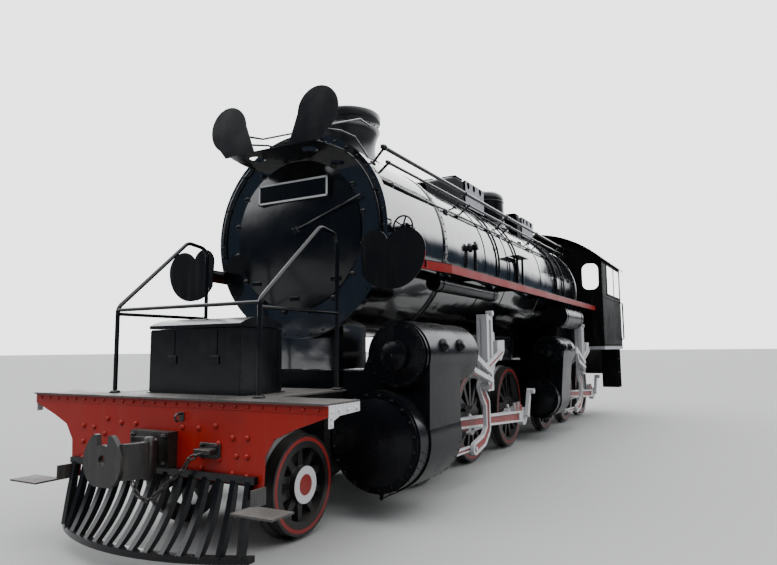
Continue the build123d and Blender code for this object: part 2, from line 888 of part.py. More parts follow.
with BuildPart() as pony_frame:
    block(PONY_X - 110, PONY_X + 110, 330, 440, PONY_Z - 100, PONY_Z + 110)
    block(PONY_X - 240, PONY_X - 100, 330, 400, PONY_Z - 45, PONY_Z + 45)
    mirror(about=Plane.XZ)
    block(PONY_X - 300, PONY_X - 200, -400, 400, PONY_Z - 45, PONY_Z + 45)
    top_plate(
        [(PONY_X - 250, 300), (PONY_X - 250, -300), (PONY_PIN_X, -60), (PONY_PIN_X, 60)],
        PONY_Z - 35,
        PONY_Z + 35,
    )
    round_z(PONY_Z - 40, PONY_Z + 40, PONY_PIN_X, 0, 85)
    round_z(PONY_Z - 50, PONY_Z + 50, PONY_PIN_X, 0, PONY_PIN_R + 2, mode=Mode.SUBTRACT)
    round_y(-450, 450, PONY_X, PONY_Z, PONY_AXLE_R + AXLE_BORE_GAP, mode=Mode.SUBTRACT)
finish(pony_frame, "pony_frame")

finish(
    cylinder_pair(
        FRONT_CYL_FRONT_X,
        FRONT_CYL_LENGTH,
        FRONT_CYL_R,
        FRONT_COVER_R,
        FRONT_CYL_VALVE_Y,
        FRONT_CYL_VALVE_R,
        FRONT_CYL_VALVE_FRONT_X,
        FRONT_CYL_VALVE_LENGTH,
        False,
    ),
    "low_pressure_cylinders",
)
finish(
    cylinder_pair(
        REAR_FRONT_X,
        REAR_CYL_LENGTH,
        REAR_CYL_R,
        REAR_COVER_R,
        REAR_CYL_VALVE_Y,
        REAR_CYL_VALVE_R,
        REAR_CYL_VALVE_FRONT_X,
        REAR_CYL_VALVE_LENGTH,
        True,
    ),
    "high_pressure_cylinders",
)
finish(main_rods(front_axles[-1], FRONT_BACK_X), "front_main_rods")
finish(main_rods(rear_axles[-1], REAR_BACK_X), "rear_main_rods")
finish(
    valve_gear(
        front_axles[-1], 0, FRONT_CYL_VALVE_FRONT_X - FRONT_CYL_VALVE_LENGTH, FRONT_CYL_VALVE_Y
    ),
    "front_valve_gear",
)
finish(
    valve_gear(
        rear_axles[-1],
        -REAR_UNIT_SHIFT,
        REAR_CYL_VALVE_FRONT_X - REAR_CYL_VALVE_LENGTH,
        REAR_CYL_VALVE_Y,
    ),
    "rear_valve_gear",
)

with BuildPart() as boiler_barrel:
    round_x(BARREL_REAR_X, SMOKEBOX_REAR_X, 0, BOILER_Z, BOILER_R)
    for x in BAND_X:
        round_x(x - BAND_W / 2, x + BAND_W / 2, 0, BOILER_Z, BOILER_R + BAND_T)
    block(-1240, -780, -420, 420, SADDLE_TOP, BOILER_Z - BOILER_R + 120)
finish(boiler_barrel, "boiler_barrel")

with BuildPart() as firebox:
    with BuildSketch(front_plane(BACKHEAD_X)):
        with Locations((0, BOILER_Z)):
            Circle(BOILER_R)
        Polygon(
            (-BOILER_R, BOILER_Z),
            (-FIREBOX_HALF, FIREBOX_BOTTOM),
            (FIREBOX_HALF, FIREBOX_BOTTOM),
            (BOILER_R, BOILER_Z),
            align=None,
        )
    extrude(amount=BARREL_REAR_X - BACKHEAD_X)
finish(firebox, "firebox")

with BuildPart() as ashpan:
    front_plate([(-380, 1220), (-250, 780), (250, 780), (380, 1220)], -3800, -2150)
    round_y(-400, 400, rear_axles[1], DRIVER_Z, AXLE_R + 130, mode=Mode.SUBTRACT)
finish(ashpan, "ashpan")

with BuildPart() as smokebox:
    round_x(SMOKEBOX_REAR_X, SMOKEBOX_FRONT_X, 0, BOILER_Z, SMOKEBOX_R)
    round_x(
        SMOKEBOX_FRONT_X - 60, SMOKEBOX_FRONT_X + 14, 0, BOILER_Z, SMOKEBOX_RING_R
    )
    block(3600, 4000, -380, 380, SADDLE_TOP + 8, BOILER_Z - SMOKEBOX_R + 120)
finish(smokebox, "smokebox")

with BuildPart() as smokebox_door:
    with BuildSketch(Plane.XY.move(Location((SMOKEBOX_FRONT_X + 14, 0, BOILER_Z)))):
        with BuildLine():
            Line((0, 0), (DOOR_DISH, 0))
            ThreePointArc((DOOR_DISH, 0), (DOOR_DISH * 0.74, DOOR_R * 0.5), (16, DOOR_R))
            Line((16, DOOR_R), (0, DOOR_R))
            Line((0, DOOR_R), (0, 0))
        make_face()
    revolve(axis=Axis((SMOKEBOX_FRONT_X, 0, BOILER_Z), (1, 0, 0)))
    block(
        SMOKEBOX_FRONT_X + 40,
        SMOKEBOX_FRONT_X + 100,
        -PLATE_HALF,
        PLATE_HALF,
        PLATE_Z - PLATE_H / 2,
        PLATE_Z + PLATE_H / 2,
    )
finish(smokebox_door, "smokebox_door")

with BuildPart() as chimney:
    with BuildSketch(side_plane(0, CHIMNEY_X)):
        with BuildLine():
            Polyline(
                (CHIMNEY_BORE_R, 3300),
                (370, 3300),
                (318, 3400),
                (292, 3480),
                (304, 3604),
                (344, 3708),
                (332, 3722),
                (332, 3800),
                (CHIMNEY_RIM_R, 3812),
                (CHIMNEY_RIM_R, 3872),
                (CHIMNEY_RIM_R - 12, CHIMNEY_TOP),
                (CHIMNEY_BORE_R, CHIMNEY_TOP),
                close=True,
            )
        make_face()
    revolve(axis=Axis((CHIMNEY_X, 0, 0), (0, 0, 1)))
    round_x(SMOKEBOX_REAR_X, SMOKEBOX_FRONT_X, 0, BOILER_Z, SMOKEBOX_R, Mode.SUBTRACT)
finish(chimney, "chimney")

with BuildPart() as smokebox_visor:
    top_plate(
        [
            (SMOKEBOX_FRONT_X + 14, 560),
            (VISOR_FRONT_X - 230, 540),
            (VISOR_FRONT_X, 480),
            (VISOR_FRONT_X, -480),
            (VISOR_FRONT_X - 230, -540),
            (SMOKEBOX_FRONT_X + 14, -560),
        ],
        VISOR_Z,
        VISOR_Z + VISOR_T,
    )
    for side in (1, -1):
        x, y, r = VISOR_HOLE
        round_z(VISOR_Z - 5, VISOR_Z + VISOR_T + 5, x, side * y, r, Mode.SUBTRACT)
    for side in (1, -1):
        with BuildSketch(front_plane(VISOR_FRONT_X - 22)):
            with Locations((side * EAR_Y, EAR_Z)):
                Circle(EAR_R)
            Polygon(
                (side * 190, VISOR_Z),
                (side * 300, 3470),
                (side * 690, 3360),
                (side * 540, VISOR_Z),
                align=None,
            )
        extrude(amount=VISOR_T)
        side_plate(
            [
                (VISOR_FRONT_X - 200, VISOR_Z + 4),
                (VISOR_FRONT_X - 20, VISOR_Z + 4),
                (VISOR_FRONT_X - 20, 3420),
            ],
            side * 420,
            side * 428,
        )
finish(smokebox_visor, "smokebox_visor")

with BuildPart() as steam_dome:
    with BuildSketch(side_plane(0, DOME_X)):
        with BuildLine():
            Polyline(
                (0, 3250), (DOME_R + 60, 3250), (DOME_R + 60, 3340), (DOME_R + 22, 3385), (DOME_R, 3440)
            )
            Line((DOME_R, 3440), (DOME_R, DOME_TOP - 160))
            ThreePointArc(
                (DOME_R, DOME_TOP - 160),
                (DOME_R * 0.93, DOME_TOP - 88),
                (CAP_REACH, DOME_TOP - CAP_DEPTH),
            )
            ThreePointArc(
                (CAP_REACH, DOME_TOP - CAP_DEPTH),
                (CAP_REACH / 2, DOME_TOP - CAP_DEPTH + arc_height(CAP_REACH / 2, CAP_REACH, 0, CAP_DEPTH)),
                (0, DOME_TOP),
            )
            Line((0, DOME_TOP), (0, 3250))
        make_face()
    revolve(axis=Axis((DOME_X, 0, 0), (0, 0, 1)))
    round_x(-3000, 2000, 0, BOILER_Z, BOILER_R + BAND_T, Mode.SUBTRACT)
finish(steam_dome, "steam_dome")

with BuildPart() as sandboxes:
    for outline, half in (
        (
            [
                (SANDBOX_NOSE_X, MOUNT_FOOT),
                (SANDBOX_NOSE_X, 3455),
                (SANDBOX_FRONT_X, SANDBOX_TOP),
                (SANDBOX_REAR_X, SANDBOX_TOP),
                (SANDBOX_REAR_X, MOUNT_FOOT),
            ],
            SANDBOX_HALF,
        ),
        (
            [
                (REAR_SANDBOX_FRONT_X, MOUNT_FOOT),
                (REAR_SANDBOX_FRONT_X, REAR_SANDBOX_TOP),
                (REAR_SANDBOX_FRONT_X - REAR_SANDBOX_L, REAR_SANDBOX_TOP),
                (REAR_SANDBOX_FRONT_X - REAR_SANDBOX_L, MOUNT_FOOT),
            ],
            SANDBOX_HALF,
        ),
    ):
        side_plate(outline, -half, half)
        fillet(sandboxes.edges(Select.LAST).filter_by(lambda e: e.center().Z > 3460), radius=55)
    for x0, x1, top in VALVE_CASINGS:
        block(x0, x1, -SANDBOX_HALF + 20, SANDBOX_HALF - 20, MOUNT_FOOT, top - 12)
        for side in (1, -1):
            block(
                x0,
                x1,
                side * (SANDBOX_HALF - 20),
                side * (SANDBOX_HALF + 12),
                CASING_FOOT,
                top,
            )
            for share in (0.15, 0.45, 0.79):
                round_y(
                    side * (SANDBOX_HALF - 12),
                    side * (SANDBOX_HALF + 20),
                    x1 + (x0 - x1) * share,
                    top - 34,
                    30,
                    Mode.SUBTRACT,
                )
    lids = (SANDBOX_FRONT_X - 150, SANDBOX_TOP), (REAR_SANDBOX_FRONT_X - 150, REAR_SANDBOX_TOP)
    for x, top in lids:
        for side in (1, -1):
            block(x - 105, x + 165, side * 70, side * 272, top - 4, top + 10)
    round_x(-3000, SANDBOX_NOSE_X + 10, 0, BOILER_Z, BOILER_R + BAND_T, Mode.SUBTRACT)
finish(sandboxes, "sandboxes")

with BuildPart() as running_boards:
    top_plate(
        [
            (BOARD_REAR_X, 910),
            (BOARD_REAR_X, BOARD_HALF),
            (BOARD_BEND_X, BOARD_HALF),
            (BOARD_FRONT_X, BOARD_FRONT_HALF),
            (BOARD_FRONT_X, 910),
        ],
        BOARD_TOP - BOARD_T,
        BOARD_TOP,
    )
    top_plate(
        [
            (BOARD_REAR_X, BOARD_HALF - VALANCE_T),
            (BOARD_REAR_X, BOARD_HALF),
            (BOARD_BEND_X, BOARD_HALF),
            (BOARD_FRONT_X, BOARD_FRONT_HALF),
            (BOARD_FRONT_X, BOARD_FRONT_HALF - VALANCE_T),
            (BOARD_BEND_X, BOARD_HALF - VALANCE_T),
        ],
        BOARD_TOP - VALANCE_H,
        BOARD_TOP,
    )
    with BuildSketch(front_plane(BOARD_FRONT_X - 5)):
        with BuildLine():
            Line((842, 2014), (825, 2257))
            ThreePointArc((825, 2257), (905, 2368), (1081, 2289))
            ThreePointArc((1081, 2289), (1290, 2362), (1425, 2203))
            ThreePointArc((1425, 2203), (1352, 1985), (1077, 1882))
            ThreePointArc((1077, 1882), (930, 1925), (842, 2014))
        make_face()
    extrude(amount=WING_T)
    for x in (3900, 2600, 1200, -200, -1600, -3000):
        inner = 780 if x > BARREL_REAR_X else BOILER_R
        block(x - 6, x + 6, inner, BOARD_HALF - 60, BOARD_TOP - 70, BOARD_TOP - 6)
    round_x(-3400, SMOKEBOX_REAR_X, 0, BOILER_Z, BOILER_R + BAND_T + 1, Mode.SUBTRACT)
    round_x(
        SMOKEBOX_REAR_X, SMOKEBOX_FRONT_X + 20, 0, BOILER_Z, SMOKEBOX_RING_R, Mode.SUBTRACT
    )
    mirror(about=Plane.XZ)
    block(STAND_X - 225, STAND_X + 225, 895, 1035, STAND_Z - 10, STAND_Z)
    for x in (STAND_X - 180, STAND_X + 60):
        block(x - 8, x + 8, 940, 970, BOARD_TOP - 2, STAND_Z - 5)
finish(running_boards, "running_boards")

with BuildPart() as boiler_handrails:
    for y, z, pipe_r in HANDRAILS:
        round_x(CAB_FRONT_X + 20, HANDRAIL_FRONT_X, y, z, pipe_r)
        for x in POST_X:
            reach = sqrt(y * y + (z - BOILER_Z) ** 2)
            foot = BOILER_R + 2 if x < SMOKEBOX_REAR_X else SMOKEBOX_R
            share = foot / reach
            with BuildSketch(
                Plane(
                    origin=(x, y * share, BOILER_Z + (z - BOILER_Z) * share),
                    z_dir=(0, y, z - BOILER_Z),
                )
            ):
                Circle(POST_R)
            extrude(amount=reach - foot)
    mirror(about=Plane.XZ)
finish(boiler_handrails, "boiler_handrails")

with BuildPart() as air_reservoirs:
    for x0, x1, y, z, r in RESERVOIRS:
        round_x(x0, x1, y, z, r)
        for x in (x0, x1):
            way = 1 if x == x1 else -1
            round_x(x, x + way * r * 0.1, y, z, r * 0.86)
        for x in (x0 + 110, x1 - 110):
            round_x(x - 25, x + 25, y, z, r + 6)
            block(x - 25, x + 25, y - 8, y + 8, z + r - 10, BOARD_TOP - BOARD_T)
    mirror(about=Plane.XZ)
finish(air_reservoirs, "air_reservoirs")

with BuildPart() as cab_floor:
    block(CAB_REAR_X, CAB_FRONT_X, -CAB_HALF, CAB_HALF, CAB_FLOOR_Z - 60, CAB_FLOOR_Z)
    with Locations(((BACKHEAD_X + CAB_FRONT_X) / 2, 0, CAB_FLOOR_Z - 30)):
        Box(
            CAB_FRONT_X - BACKHEAD_X + 60,
            2 * FIREBOX_HALF + 60,
            140,
            mode=Mode.SUBTRACT,
        )
finish(cab_floor, "cab_floor")


ROOF_HALF = CAB_HALF + ROOF_OVERHANG
PLATE_APEX = ROOF_APEX_Z - ROOF_T - ROOF_GAP
PLATE_TOP = arc_height(CAB_HALF, ROOF_HALF - 6, EAVE_Z - 30, ROOF_APEX_Z - ROOF_T) - ROOF_GAP


def roof_arc(half, eave, apex):
    """Points of the roof's arc from the right eave over the top to the left."""
    return (-half, eave), (0, apex), (half, eave)


with BuildPart() as cab_front:
    with BuildSketch(front_plane(CAB_FRONT_X - CAB_PLATE)):
        with BuildLine():
            ThreePointArc(*roof_arc(CAB_HALF, PLATE_TOP, PLATE_APEX))
            Polyline(
                (CAB_HALF, PLATE_TOP),
                (CAB_HALF, CAB_FLOOR_Z),
                (-CAB_HALF, CAB_FLOOR_Z),
                (-CAB_HALF, PLATE_TOP),
            )
        make_face()
        with Locations((0, BOILER_Z)):
            Circle(BOILER_R + 6, mode=Mode.SUBTRACT)
        Polygon(
            (-BOILER_R - 6, BOILER_Z),
            (-FIREBOX_HALF - 20, 1300),
            (FIREBOX_HALF + 20, 1300),
            (BOILER_R + 6, BOILER_Z),
            align=None,
            mode=Mode.SUBTRACT,
        )
        for side in (1, -1):
            with Locations((side * (CAB_HALF - SPECTACLE_W / 2 - SPECTACLE_EDGE), 2750)):
                RectangleRounded(SPECTACLE_W, SPECTACLE_H, 120, mode=Mode.SUBTRACT)
    extrude(amount=CAB_PLATE)
finish(cab_front, "cab_front")

for side, hand in ((1, "left"), (-1, "right")):
    with BuildPart() as cab_side:
        side_plate(
            [
                (CAB_FRONT_X - CAB_PLATE, CAB_FLOOR_Z),
                (CAB_REAR_X + 40, CAB_FLOOR_Z),
                (CAB_REAR_X + 40, PLATE_TOP),
                (CAB_FRONT_X - CAB_PLATE, PLATE_TOP),
            ],
            side * (CAB_HALF - CAB_PLATE),
            side * CAB_HALF,
        )
        side_plate(
            [
                (-3950, WAIST_Z),
                (CAB_REAR_X + 140, WAIST_Z),
                (CAB_REAR_X + 140, WINDOW_TOP_Z),
                (-3950, WINDOW_TOP_Z),
            ],
            side * (CAB_HALF - 40),
            side * (CAB_HALF + 40),
            mode=Mode.SUBTRACT,
        )
    finish(cab_side, f"cab_side_{hand}")

with BuildPart() as cab_roof:
    with BuildSketch(front_plane(ROOF_REAR_X)):
        with BuildLine():
            ThreePointArc(*roof_arc(ROOF_HALF, EAVE_Z - 20, ROOF_APEX_Z))
            Line((ROOF_HALF, EAVE_Z - 20), (ROOF_HALF - 6, EAVE_Z - 30))
            ThreePointArc(*roof_arc(ROOF_HALF - 6, EAVE_Z - 30, ROOF_APEX_Z - ROOF_T))
            Line((-ROOF_HALF + 6, EAVE_Z - 30), (-ROOF_HALF, EAVE_Z - 20))
        make_face()
    extrude(amount=ROOF_FRONT_X - ROOF_REAR_X)
finish(cab_roof, "cab_roof")

with BuildPart() as cab_steps:
    block(CAB_REAR_X + 60, CAB_REAR_X + 72, 1000, 1330, 560, CAB_FLOOR_Z - 60)
    block(CAB_REAR_X + 400, CAB_REAR_X + 412, 1000, 1330, 560, CAB_FLOOR_Z - 60)
    for z in (560, 860, 1150):
        block(CAB_REAR_X + 60, CAB_REAR_X + 412, 1100, 1340, z, z + 12)
    mirror(about=Plane.XZ)
finish(cab_steps, "cab_steps")

with BuildPart() as buffer_beam:
    with BuildSketch(front_plane(BEAM_X - BEAM_T)):
        with BuildLine():
            Polyline(
                (PLATFORM_HALF, PLATFORM_TOP - PLATFORM_T),
                (PLATFORM_HALF, 1000),
                (1160, 915),
                (1010, 850),
                (935, 740),
                (920, 474),
                (840, 474),
                (840, 560),
                (-840, 560),
                (-840, 474),
                (-920, 474),
                (-935, 740),
                (-1010, 850),
                (-1160, 915),
                (-PLATFORM_HALF, 1000),
                (-PLATFORM_HALF, PLATFORM_TOP - PLATFORM_T),
                close=True,
            )
        make_face()
    extrude(amount=BEAM_T)
finish(buffer_beam, "buffer_beam")

with BuildPart() as front_platform:
    top_plate(
        [
            (BEAM_X + 20, PLATFORM_HALF),
            (BEAM_X - PLATFORM_DEPTH, PLATFORM_HALF),
            (BEAM_X - PLATFORM_DEPTH, DECK_HALF),
            (DECK_REAR_X, DECK_HALF),
            (DECK_REAR_X, -DECK_HALF),
            (BEAM_X - PLATFORM_DEPTH, -DECK_HALF),
            (BEAM_X - PLATFORM_DEPTH, -PLATFORM_HALF),
            (BEAM_X + 20, -PLATFORM_HALF),
        ],
        PLATFORM_TOP - PLATFORM_T,
        PLATFORM_TOP,
    )
    for side in (1, -1):
        side_plate(
            [
                (BEAM_X - PLATFORM_DEPTH, PLATFORM_TOP - 5),
                (BEAM_X - PLATFORM_DEPTH, PLATFORM_TOP - 70),
                (BEAM_X - 130, PLATFORM_TOP - 80),
                (BEAM_X - BEAM_T, PLATFORM_TOP - 120),
                (BEAM_X - BEAM_T, PLATFORM_TOP - 5),
            ],
            side * (PLATFORM_HALF - 9),
            side * PLATFORM_HALF,
        )
finish(front_platform, "front_platform")

BOX_FRONT_X = 5450
BOX_REAR_X = 4990
BOX_HALF = 455
BOX_TOP = 1560
HINGE_X = BOX_REAR_X - 20
HINGE_Z = BOX_TOP + 8
HINGE_R = 12
HINGE_BORE_R = 5
HINGE_PLAY = 0.5
HINGE_L = 60
HINGE_Y = (-300, 300)
with BuildPart() as toolbox:
    block(BOX_REAR_X, BOX_FRONT_X, -BOX_HALF, BOX_HALF, PLATFORM_TOP, BOX_TOP)
    with Locations(((BOX_REAR_X + BOX_FRONT_X) / 2, 0, (PLATFORM_TOP + BOX_TOP) / 2 + 8)):
        Box(
            BOX_FRONT_X - BOX_REAR_X - 16,
            2 * BOX_HALF - 16,
            BOX_TOP - PLATFORM_TOP,
            mode=Mode.SUBTRACT,
        )
    for y in HINGE_Y:
        for end in (1, -1):
            middle = y + end * HINGE_L
            block(
                HINGE_X - 4,
                BOX_REAR_X,
                middle - HINGE_L / 2 + 2,
                middle + HINGE_L / 2 - 2,
                HINGE_Z - 60,
                HINGE_Z - HINGE_R + 4,
            )
            round_y(
                middle - HINGE_L / 2 + 2,
                middle + HINGE_L / 2 - 2,
                HINGE_X,
                HINGE_Z,
                HINGE_R,
            )
            round_y(
                middle - HINGE_L,
                middle + HINGE_L,
                HINGE_X,
                HINGE_Z,
                HINGE_BORE_R,
                Mode.SUBTRACT,
            )
finish(toolbox, "toolbox")

with BuildPart() as toolbox_lid:
    with BuildSketch(side_plane(BOX_HALF + 8)):
        with BuildLine():
            Line((BOX_REAR_X - 4, BOX_TOP + 6), (BOX_FRONT_X + 12, BOX_TOP + 6))
            Line((BOX_FRONT_X + 12, BOX_TOP + 6), (BOX_FRONT_X + 12, BOX_TOP + 30))
            ThreePointArc(
                (BOX_FRONT_X + 12, BOX_TOP + 30),
                ((BOX_FRONT_X + BOX_REAR_X) / 2, BOX_TOP + 85),
                (BOX_REAR_X - 4, BOX_TOP + 30),
            )
            Line((BOX_REAR_X - 4, BOX_TOP + 30), (BOX_REAR_X - 4, BOX_TOP + 6))
        make_face()
    extrude(amount=2 * BOX_HALF + 16)
    for y in HINGE_Y:
        leaf_half = HINGE_L / 2 - 2
        block(
            HINGE_X,
            BOX_REAR_X - 2,
            y - leaf_half,
            y + leaf_half,
            HINGE_Z + 2,
            HINGE_Z + HINGE_R,
        )
        round_y(y - leaf_half, y + leaf_half, HINGE_X, HINGE_Z, HINGE_R)
        round_y(
            y - HINGE_L * 1.5,
            y + HINGE_L * 1.5,
            HINGE_X,
            HINGE_Z,
            HINGE_BORE_R - HINGE_PLAY,
        )
finish(toolbox_lid, "toolbox_lid")

with BuildPart() as front_handrails:
    for side in (1, -1):
        y = side * RAIL_Y
        tube(
            [
                (RAIL_FRONT_X, y, PLATFORM_TOP),
                (RAIL_FRONT_X, y, RAIL_KNEE_Z),
                (RAIL_KNEE_X, y, RAIL_TOP),
                (RAIL_REAR_X, y, RAIL_TOP - 30),
                (RAIL_REAR_X, y, PLATFORM_TOP),
            ],
            RAIL_R,
            90,
        )
        round_x(RAIL_REAR_X, RAIL_FRONT_X, y, RAIL_LOW_Z, RAIL_R - 3)
    round_y(-RAIL_Y, RAIL_Y, RAIL_FRONT_X, RAIL_CROSS_Z, RAIL_R - 3)
finish(front_handrails, "front_handrails")

with BuildPart() as cowcatcher:
    block(BEAM_X, BEAM_X + 40, -890, 890, 575, 620)
    bars = 15
    for n in range(bars):
        y = -840 + 1680 * n / (bars - 1)
        nose = BEAM_X + 80 + 240 * (1 - (y / 900) ** 2)
        with BuildSketch(side_plane(y + 20)):
            with BuildLine():
                Line((BEAM_X + 5, 600), (BEAM_X + 38, 600))
                ThreePointArc(
                    (BEAM_X + 38, 600),
                    (BEAM_X + 45 + (nose - BEAM_X) * 0.36, 330),
                    (nose, 150),
                )
                Line((nose, 150), (nose - 45, 150))
                ThreePointArc(
                    (nose - 45, 150),
                    (BEAM_X + 10 + (nose - 45 - BEAM_X) * 0.36, 330),
                    (BEAM_X + 5, 600),
                )
            make_face()
        extrude(amount=40)
    with BuildSketch(Plane.XY.offset(120)):
        with BuildLine():
            ThreePointArc(
                (BEAM_X + 80, 890), (BEAM_X + 322, 0), (BEAM_X + 80, -890)
            )
            Line((BEAM_X + 80, -890), (BEAM_X + 20, -890))
            ThreePointArc(
                (BEAM_X + 20, -890), (BEAM_X + 255, 0), (BEAM_X + 20, 890)
            )
            Line((BEAM_X + 20, 890), (BEAM_X + 80, 890))
        make_face()
    extrude(amount=40)
finish(cowcatcher, "cowcatcher")

with BuildPart() as coupler:
    block(BEAM_X, BEAM_X + POCKET_DEPTH, -185, 185, 621, 857)
    block(BEAM_X + POCKET_DEPTH - 10, COUPLER_NOSE_X - 270, -70, 70, 640, 795)
    with BuildSketch(Plane.XY.offset(605)) as jaw:
        with BuildLine():
            ThreePointArc(
                (COUPLER_NOSE_X - 20, 182), (COUPLER_NOSE_X - 150, 232), (COUPLER_NOSE_X - 330, 60)
            )
            Line((COUPLER_NOSE_X - 330, 60), (COUPLER_NOSE_X - 330, -70))
            Line((COUPLER_NOSE_X - 330, -70), (COUPLER_NOSE_X - 270, -70))
            ThreePointArc(
                (COUPLER_NOSE_X - 270, -70), (COUPLER_NOSE_X - 140, 178), (COUPLER_NOSE_X - 20, 142)
            )
            Line((COUPLER_NOSE_X - 20, 142), (COUPLER_NOSE_X - 20, 182))
        make_face()
    extrude(jaw.sketch, amount=220)
    with BuildSketch(front_plane(COUPLER_NOSE_X - COUPLER_FACE_T)) as face:
        for side in (1, -1):
            with BuildLine():
                Polyline(
                    (0, 554), (0, 812), (side * 48, 806), (side * 56, 872), (side * 82, 876)
                )
                ThreePointArc((side * 82, 876), (side * 148, 806), (side * 180, 716))
                ThreePointArc((side * 180, 716), (side * 160, 626), (side * 72, 554))
                Line((side * 72, 554), (0, 554))
            make_face()
        with Locations((0, 718)):
            Circle(32, mode=Mode.SUBTRACT)
    extrude(face.sketch, amount=COUPLER_FACE_T)
finish(coupler, "coupler")

with BuildPart() as front_steps:
    block(*STEP_TREAD, STEP_Z, STEP_Z + STEP_T)
    block(BEAM_X - BEAM_T, STEP_TREAD[0] + 30, STEP_TREAD[2], STEP_TREAD[2] + 15, STEP_Z, STEP_Z + 105)
    mirror(about=Plane.XZ)
finish(front_steps, "front_steps")

with BuildPart() as blower_valve:
    round_y(SMOKEBOX_R - 30, WHEEL_Y + 30, WHEEL_X - 120, WHEEL_Z, 34)
    round_x(WHEEL_X - 160, WHEEL_X - 60, WHEEL_Y, WHEEL_Z, 40)
    round_x(WHEEL_X - 70, WHEEL_X + 12, WHEEL_Y, WHEEL_Z, 12)
    with Locations(Location((WHEEL_X, WHEEL_Y, WHEEL_Z), (0, 90, 0))):
        Torus(WHEEL_R, 8)
    with BuildSketch(front_plane(WHEEL_X - 5, WHEEL_Y, WHEEL_Z)) as spokes:
        Circle(22)
        with PolarLocations(WHEEL_R / 2, 5):
            Rectangle(WHEEL_R - 2, 12)
    extrude(spokes.sketch, amount=10)
    round_x(SMOKEBOX_REAR_X, SMOKEBOX_FRONT_X, 0, BOILER_Z, SMOKEBOX_R + 0.5, Mode.SUBTRACT)
finish(blower_valve, "blower_valve")

with BuildPart() as receiver_pipe:
    pipe_end = FRONT_CYL_FRONT_X - FRONT_CYL_LENGTH + 50
    round_x(PIVOT_X, pipe_end, 0, PIPE_Z, PIPE_R)
    for x in (pipe_end - 20, 1500):
        round_x(x - 20, x + 20, 0, PIPE_Z, PIPE_R + 35)
    with Locations((PIVOT_X, 0, PIPE_Z)):
        Sphere(PIPE_R + 25)
finish(receiver_pipe, "receiver_pipe")
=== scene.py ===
import json
from itertools import product
from math import cos, radians, sin, tau

import bpy
from mathutils import Matrix, Vector


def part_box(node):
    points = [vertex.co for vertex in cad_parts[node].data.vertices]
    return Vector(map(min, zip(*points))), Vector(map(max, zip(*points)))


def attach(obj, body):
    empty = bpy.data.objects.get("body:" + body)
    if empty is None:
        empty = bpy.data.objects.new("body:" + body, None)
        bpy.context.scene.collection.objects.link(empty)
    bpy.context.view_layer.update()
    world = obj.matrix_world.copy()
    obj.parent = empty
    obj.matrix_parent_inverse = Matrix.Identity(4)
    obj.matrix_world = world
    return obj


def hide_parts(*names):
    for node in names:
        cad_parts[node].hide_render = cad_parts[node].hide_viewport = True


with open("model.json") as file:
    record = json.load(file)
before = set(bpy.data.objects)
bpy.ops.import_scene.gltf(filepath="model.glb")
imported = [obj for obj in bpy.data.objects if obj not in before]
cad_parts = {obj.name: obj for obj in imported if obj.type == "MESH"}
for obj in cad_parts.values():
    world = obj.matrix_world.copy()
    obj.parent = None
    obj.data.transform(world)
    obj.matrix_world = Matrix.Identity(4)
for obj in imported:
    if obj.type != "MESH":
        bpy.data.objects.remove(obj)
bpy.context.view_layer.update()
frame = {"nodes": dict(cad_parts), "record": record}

# Places in metres: X forward, Y left, Z up. What the box of a node tells is read from the frame.
BEAM_FACE_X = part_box("buffer_beam")[1].x
PLATFORM_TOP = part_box("front_platform")[1].z
PLATFORM_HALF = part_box("front_platform")[1].y
BOX_FRONT_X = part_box("toolbox")[1].x
BOX_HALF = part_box("toolbox")[1].y
SMOKEBOX_FACE_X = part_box("smokebox")[1].x
BACKHEAD_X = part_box("firebox")[0].x
CAB_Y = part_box("cab_side_left")[1].y
CAB_FRONT_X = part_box("cab_front")[1].x
CAB_REAR_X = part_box("cab_side_left")[0].x
CAB_FLOOR_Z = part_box("cab_floor")[1].z
BOILER_Z = 2.464
BOILER_R = 0.900
SMOKEBOX_R = 0.930
SMOKEBOX_REAR_X = 2.832
BOARD_TOP = 2.181
CYL_Z = 0.645
VALVE_Z = 1.345
MOTION_Y = 0.900
CASING_Y = 0.300
CRANK = 0.305
DRIVER_Z = 0.580
PONY_X = 4.935
PONY_Z = 0.397
MAIN_AXLE_X = 0.040
AXLE_STEP = 1.420
REAR_UNIT_SHIFT = 4.800
AXLES = {"front": [MAIN_AXLE_X + n * AXLE_STEP for n in (2, 1, 0)]}
AXLES["rear"] = [x - REAR_UNIT_SHIFT for x in AXLES["front"]]

SIDES = (1, -1)
FORWARD = (1, 0, 0)
REARWARD = (-1, 0, 0)
UPWARD = (0, 0, 1)
DOWNWARD = (0, 0, -1)


# Mesh making
class Shape:
    """Gathers points and faces in metres, then becomes one named object."""

    def __init__(self):
        self.points = []
        self.faces = []
        self.smooth = []

    def add(self, points, faces, smooth=False):
        start = len(self.points)
        self.points.extend(tuple(p) for p in points)
        self.faces.extend(tuple(i + start for i in f) for f in faces)
        self.smooth.extend([smooth] * len(faces))

    def build(self, name, body, material):
        mesh = bpy.data.meshes.new(name)
        mesh.from_pydata(self.points, [], self.faces)
        mesh.polygons.foreach_set("use_smooth", self.smooth)
        mesh.update()
        piece = bpy.data.objects.new(name, mesh)
        bpy.context.scene.collection.objects.link(piece)
        mesh.materials.append(material)
        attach(piece, body)
        return piece


def across(axis):
    """Two unit vectors square to an axis and to each other."""
    axis = Vector(axis).normalized()
    helper = Vector((0, 0, 1)) if abs(axis.z) < 0.9 else Vector((1, 0, 0))
    u = axis.cross(helper).normalized()
    return u, axis.cross(u)


def turns(count, first=0.0):
    """Angles at equal steps round a full turn, the first one that share of a step on."""
    return [tau * (k + first) / count for k in range(count)]


def arc(start, end, count):
    """Angles at equal steps between two, which are given in degrees."""
    return [radians(start + (end - start) * k / (count - 1)) for k in range(count)]


